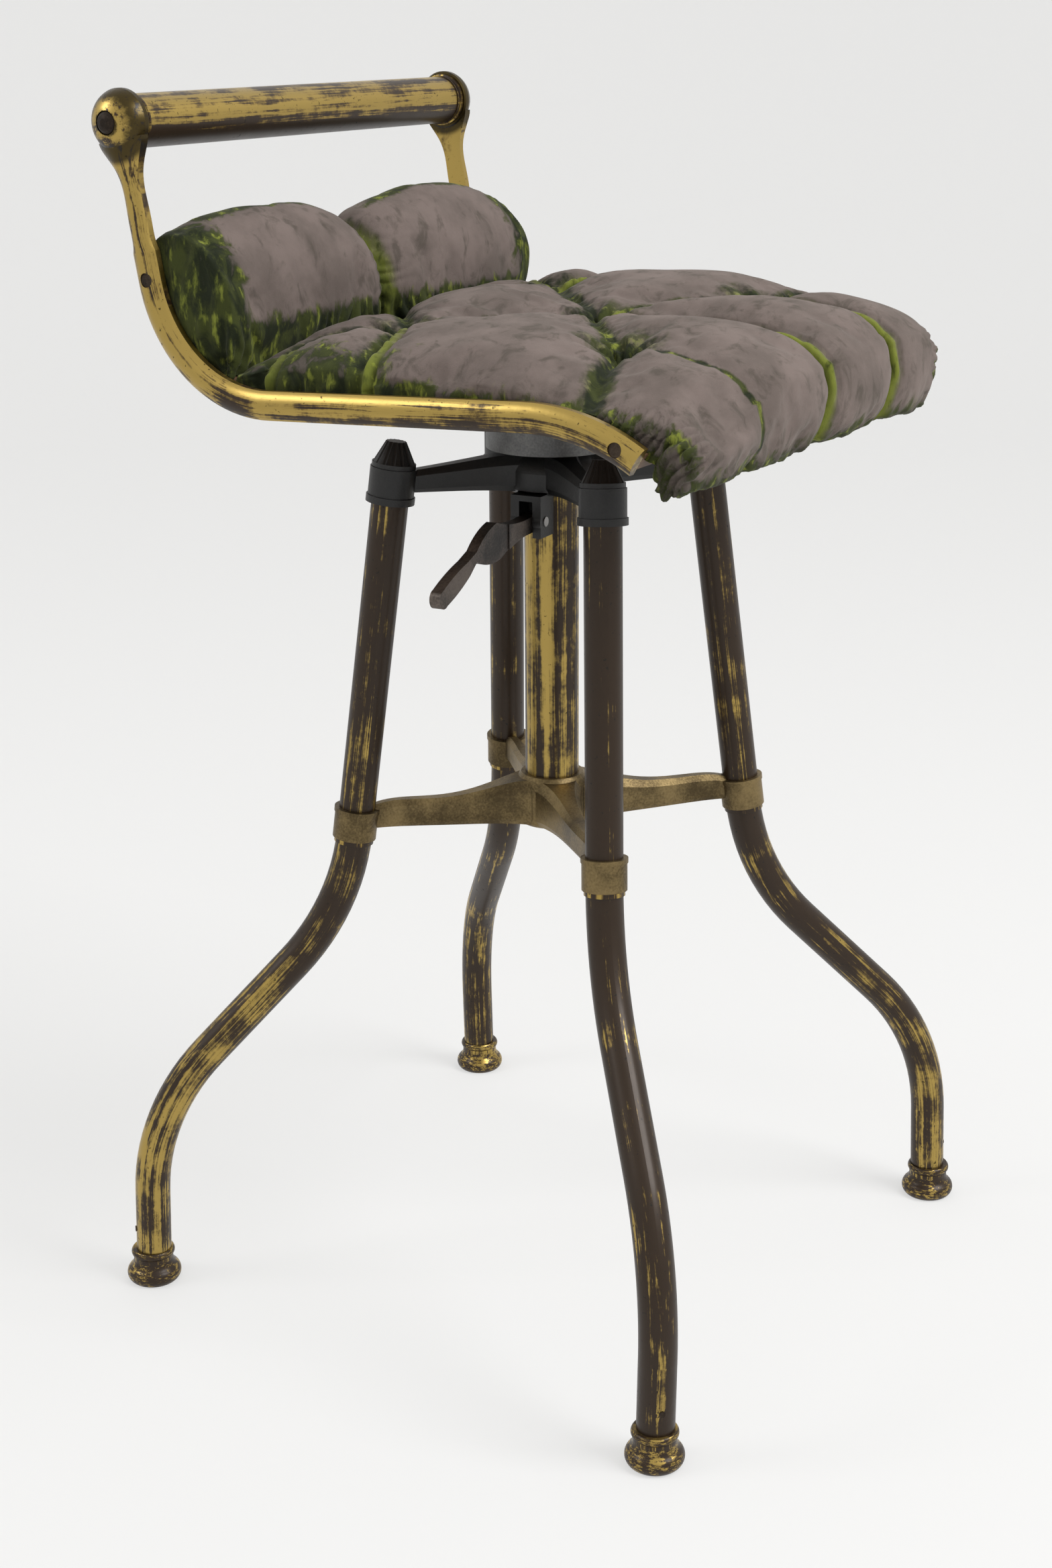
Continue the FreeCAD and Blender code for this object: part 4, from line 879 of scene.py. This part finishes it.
def make_back_pad():
    cells, quads = box_skin(BACK_CELLS)
    half = (cells + 1.0) / 2.0
    section = section_point((half[:, 1], half[:, 2]), BACK_UNDER, BACK_FRONT, BACK_TOP, BACK_BEHIND)
    x = cells[:, 0] * (PAD_HALF - 2.2)
    y, z = section[:, 0].copy(), section[:, 1].copy()
    lobe = np.abs(x) / PAD_HALF
    crown = np.clip(np.sin(np.clip(lobe * 0.93 + 0.02, 0.0, 1.0) * math.pi), 0.0, 1.0) ** 0.5
    raised = z > LOBE_FOOT
    z[raised] = LOBE_FOOT + (z[raised] - LOBE_FOOT) * (0.66 + 0.34 * crown[raised])
    rest = np.stack([x, y, z], 1)
    pad = new_piece("velvet_back", rest * MM, quads)
    gap = np.abs(x)
    tacked = (cells[:, 1] > 0.999) | (cells[:, 2] < -0.999)
    push = sink(rest[:, :2], BACK_FOLDS, 8.0)
    push[tacked] = 0.0
    write_points(pad.data, (rest - read_normals(pad.data) * push[:, None]) * MM)
    held = np.where(tacked, 1.0, 0.0)
    held = np.maximum(held, np.clip(1.6 - gap / 3.0, 0.0, 1.0))
    stuff(pad, held, pressure=3.2, growth=0.02, cap=0.005)
    return pad


def detail_back_pad(pad):
    subdivided(pad)
    points = read_points(pad.data) / MM
    normals = read_normals(pad.data)
    gap = fold_map(points[:, :2], BACK_FOLDS)["gap"]
    x, y, z = points[:, 0], points[:, 1], points[:, 2]
    foot = rise(y, 118.0, 108.0) * rise(z, 534.0, 518.0)
    side = rise(np.abs(x), 112.0, 130.0)
    rim = rise(z, 566.0, 574.0) * rise(y, 116.0, 124.0)
    phase = x * math.pi / 7.5 + wander(points, 0.05, 5.0) * 2.4
    move = ridges(phase) * 1.5 * foot * np.clip(0.5 + wander(points, 0.03, 8.0), 0.0, 1.2)
    across = z * math.pi / PUCKER_PITCH + wander(points, 0.07, 3.0) * 2.0
    move += ridges(across) * 0.9 * np.exp(-gap / 8.0) * rise(z, 516.0, 526.0)
    move += wander(points, 0.035, 40.0) * 0.8
    move += wander(points * np.array([1.0, 1.0, 0.4]), 0.2, 44.0) * 0.8 * side
    write_points(pad.data, (points + normals * move[:, None]) * MM)
    write_attribute(pad.data, "swell", rise(gap, 0.0, 34.0))
    write_attribute(pad.data, "skirt", np.maximum.reduce([foot, side * 0.8, rim * 0.75]))
    # pleat marks a strip beside the cleft, where the finish paints a yellow-green sheen highlight
    write_attribute(pad.data, "pleat", np.exp(-((gap - 5.0) / 3.0) ** 2) * 0.6)


back_pad = make_back_pad()
detail_back_pad(back_pad)
print("back pad faces", len(back_pad.data.polygons))

# %% [markdown]
# Silk velvet of this age shows two colours. Where it is rubbed, on the crowns, the nap has gone and leaves a
# mauve grey backing. In the folds and along the edges the green pile is still there, dark where it lies
# one way and yellow-green where it is crushed the other way. Beside the pleats and the cleft the yellow-green
# is a painted sheen highlight. The three attributes on the mesh say where.

# %% Write the crushed velvet
MAUVE = (0.112, 0.089, 0.079)
MAUVE_LIGHT = (0.160, 0.126, 0.114)
MAUVE_DARK = (0.052, 0.044, 0.034)
GREEN_DARK = (0.009, 0.013, 0.004)
GREEN_MID = (0.036, 0.044, 0.009)
# GREEN_BRIGHT serves the crushed pile, and along the pleat strips a painted sheen highlight.
GREEN_BRIGHT = (0.170, 0.195, 0.028)


def crushed_velvet():
    velvet = Finish("crushed_velvet", Roughness=0.88, Sheen_Weight=0.08, Sheen_Roughness=0.45,
                    Sheen_Tint=(0.86, 0.84, 0.74, 1.0), Specular_IOR_Level=0.2)
    place = velvet.place()
    swell = velvet.node("ShaderNodeAttribute", {"attribute_name": "swell"}, {}, "Fac")
    skirt = velvet.node("ShaderNodeAttribute", {"attribute_name": "skirt"}, {}, "Fac")
    pleat = velvet.node("ShaderNodeAttribute", {"attribute_name": "pleat"}, {}, "Fac")
    cloud = velvet.noise(place, 34.0, 4.0, 0.6)
    streak = velvet.noise(velvet.stretched(place, (190.0, 190.0, 62.0)), 1.0, 4.0, 0.6)
    patch = velvet.noise(velvet.stretched(place, (95.0, 95.0, 50.0)), 1.0, 5.0, 0.62, 0.6)
    pile = velvet.noise(place, 1500.0, 2.0, 0.5)
    worn = (swell + (cloud - 0.5) * 0.34 + (streak - 0.5) * 0.36).ramp(0.10, 0.30)
    kept = (skirt + (patch - 0.5) * 1.5).ramp(0.30, 0.62)
    worn = worn * (1.0 - kept)
    mauve = velvet.mixed(cloud.ramp(0.35, 0.68), MAUVE, MAUVE_LIGHT)
    mauve = velvet.mixed((1.0 - patch).ramp(0.50, 0.70) * 0.65, mauve, MAUVE_DARK)
    green = velvet.mixed(patch.ramp(0.40, 0.60), GREEN_DARK, GREEN_MID)
    bright = streak.ramp(0.52, 0.66) * patch.ramp(0.38, 0.6)
    # painted sheen highlight: along the pleat strips the pile turns yellow-green, and the worn mauve is held
    # back there
    green = velvet.mixed(bright.most(pleat * streak.ramp(0.25, 0.5) * 0.9), green, GREEN_BRIGHT)
    colour = velvet.mixed(worn * (1.0 - pleat * 0.8), green, mauve)
    velvet.feed("Base Color", colour)
    velvet.feed("Roughness", 0.8 + pile * 0.15)
    velvet.bump(pile * 0.35 + streak * 0.5 + patch * 0.6, 0.35, 0.0009)
    return velvet.material


VELVET = crushed_velvet()
for pad, node, fill in ((seat_pad, "seat_pad", 0.8), (back_pad, "back_pad", 0.9)):
    pad.data.materials.clear()
    pad.data.materials.append(VELVET)
    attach(pad, "seat")
    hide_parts(node)
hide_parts("tuft_buttons")
print("velvet in place")

# %% [markdown]
# The velvet's hem is nailed to the shell from beneath, with domed tacks. Rows of like heads are work for
# Geometry Nodes: the script looks up at the shell to find each tack's place, and the tree puts one dome
# there, turned along the wood's face. The heads have few faces each, because nobody sees them closely.

# %% Nail the velvet's hem from beneath
TACK_PITCH = 19.0 * MM
TACK_INSET = 9.0 * MM
TACK_RADIUS = 3.1 * MM
TACK_HEIGHT = 1.7 * MM
TACK_SEED = 4


def tack_places():
    """Points and facings on the underside of the shell, in one row along each side."""
    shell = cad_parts["seat_shell"].data
    corners = [point.co for point in shell.vertices]
    tree = BVHTree.FromPolygons(corners, [face.vertices for face in shell.polygons])
    low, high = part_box("seat_shell")
    places, facings = [], []
    for side in (low[0] + TACK_INSET, high[0] - TACK_INSET):
        for step in range(int((high[1] - low[1]) / TACK_PITCH)):
            eye = Vector((side, low[1] + (step + 0.9) * TACK_PITCH, low[2] - 0.05))
            place, facing = tree.ray_cast(eye, Vector((0.0, 0.0, 1.0)), 0.12)[:2]
            if place is not None and facing.z < -0.8:
                places.append(place)
                facings.append(facing)
    return places, facings


def tack_tree(material):
    """One dome on every point, turned along the point's facing."""
    tree = bpy.data.node_groups.new("tack_rows", "GeometryNodeTree")
    sockets = {}
    for name, kind in (("Points", "Geometry"), ("Head Radius", "Float"), ("Head Height", "Float")):
        sockets[name] = tree.interface.new_socket(name, in_out="INPUT", socket_type="NodeSocket" + kind)
    tree.interface.new_socket("Tacks", in_out="OUTPUT", socket_type="NodeSocketGeometry")
    node = {kind: tree.nodes.new(kind) for kind in (
        "NodeGroupInput", "NodeGroupOutput", "GeometryNodeMeshUVSphere", "ShaderNodeCombineXYZ",
        "GeometryNodeTransform", "GeometryNodeInputNamedAttribute", "FunctionNodeAlignRotationToVector",
        "FunctionNodeRandomValue", "GeometryNodeInstanceOnPoints", "GeometryNodeRealizeInstances",
        "GeometryNodeSetMaterial")}
    node["GeometryNodeMeshUVSphere"].inputs["Segments"].default_value = 12
    node["GeometryNodeMeshUVSphere"].inputs["Rings"].default_value = 6
    node["GeometryNodeMeshUVSphere"].inputs["Radius"].default_value = 1.0
    node["GeometryNodeInputNamedAttribute"].data_type = "FLOAT_VECTOR"
    node["GeometryNodeInputNamedAttribute"].inputs["Name"].default_value = "facing"
    node["FunctionNodeAlignRotationToVector"].axis = "Z"
    random_size = node["FunctionNodeRandomValue"].inputs
    random_size[2].default_value = 0.94
    random_size[3].default_value = 1.06
    random_size["Seed"].default_value = TACK_SEED
    node["GeometryNodeSetMaterial"].inputs["Material"].default_value = material
    wires = [
        ("NodeGroupInput", "Head Radius", "ShaderNodeCombineXYZ", "X"),
        ("NodeGroupInput", "Head Radius", "ShaderNodeCombineXYZ", "Y"),
        ("NodeGroupInput", "Head Height", "ShaderNodeCombineXYZ", "Z"),
        ("GeometryNodeMeshUVSphere", "Mesh", "GeometryNodeTransform", "Geometry"),
        ("ShaderNodeCombineXYZ", "Vector", "GeometryNodeTransform", "Scale"),
        ("GeometryNodeTransform", "Geometry", "GeometryNodeInstanceOnPoints", "Instance"),
        ("NodeGroupInput", "Points", "GeometryNodeInstanceOnPoints", "Points"),
        ("GeometryNodeInputNamedAttribute", "Attribute", "FunctionNodeAlignRotationToVector", "Vector"),
        ("FunctionNodeAlignRotationToVector", "Rotation", "GeometryNodeInstanceOnPoints", "Rotation"),
        ("FunctionNodeRandomValue", 1, "GeometryNodeInstanceOnPoints", "Scale"),
        ("GeometryNodeInstanceOnPoints", "Instances", "GeometryNodeRealizeInstances", "Geometry"),
        ("GeometryNodeRealizeInstances", "Geometry", "GeometryNodeSetMaterial", "Geometry"),
        ("GeometryNodeSetMaterial", "Geometry", "NodeGroupOutput", "Tacks"),
    ]
    for start, out, end, into in wires:
        tree.links.new(node[start].outputs[out], node[end].inputs[into])
    return tree, sockets


def make_tacks():
    places, facings = tack_places()
    rows = new_piece("tack_points", places, [])
    facing = rows.data.attributes.new("facing", "FLOAT_VECTOR", "POINT")
    facing.data.foreach_set("vector", [number for way in facings for number in way])
    tree, sockets = tack_tree(BRASSES["ring"].material)
    modifier = rows.modifiers.new("tacks", "NODES")
    modifier.node_group = tree
    modifier[sockets["Head Radius"].identifier] = TACK_RADIUS
    modifier[sockets["Head Height"].identifier] = TACK_HEIGHT
    mesh = evaluated_mesh(rows)
    rows.modifiers.clear()
    bpy.data.objects.remove(rows)
    tacks = bpy.data.objects.new("hem_tacks", mesh)
    scene.collection.objects.link(tacks)
    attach(tacks, "seat")
    print("tacks", len(places), "faces", len(mesh.polygons))


make_tacks()
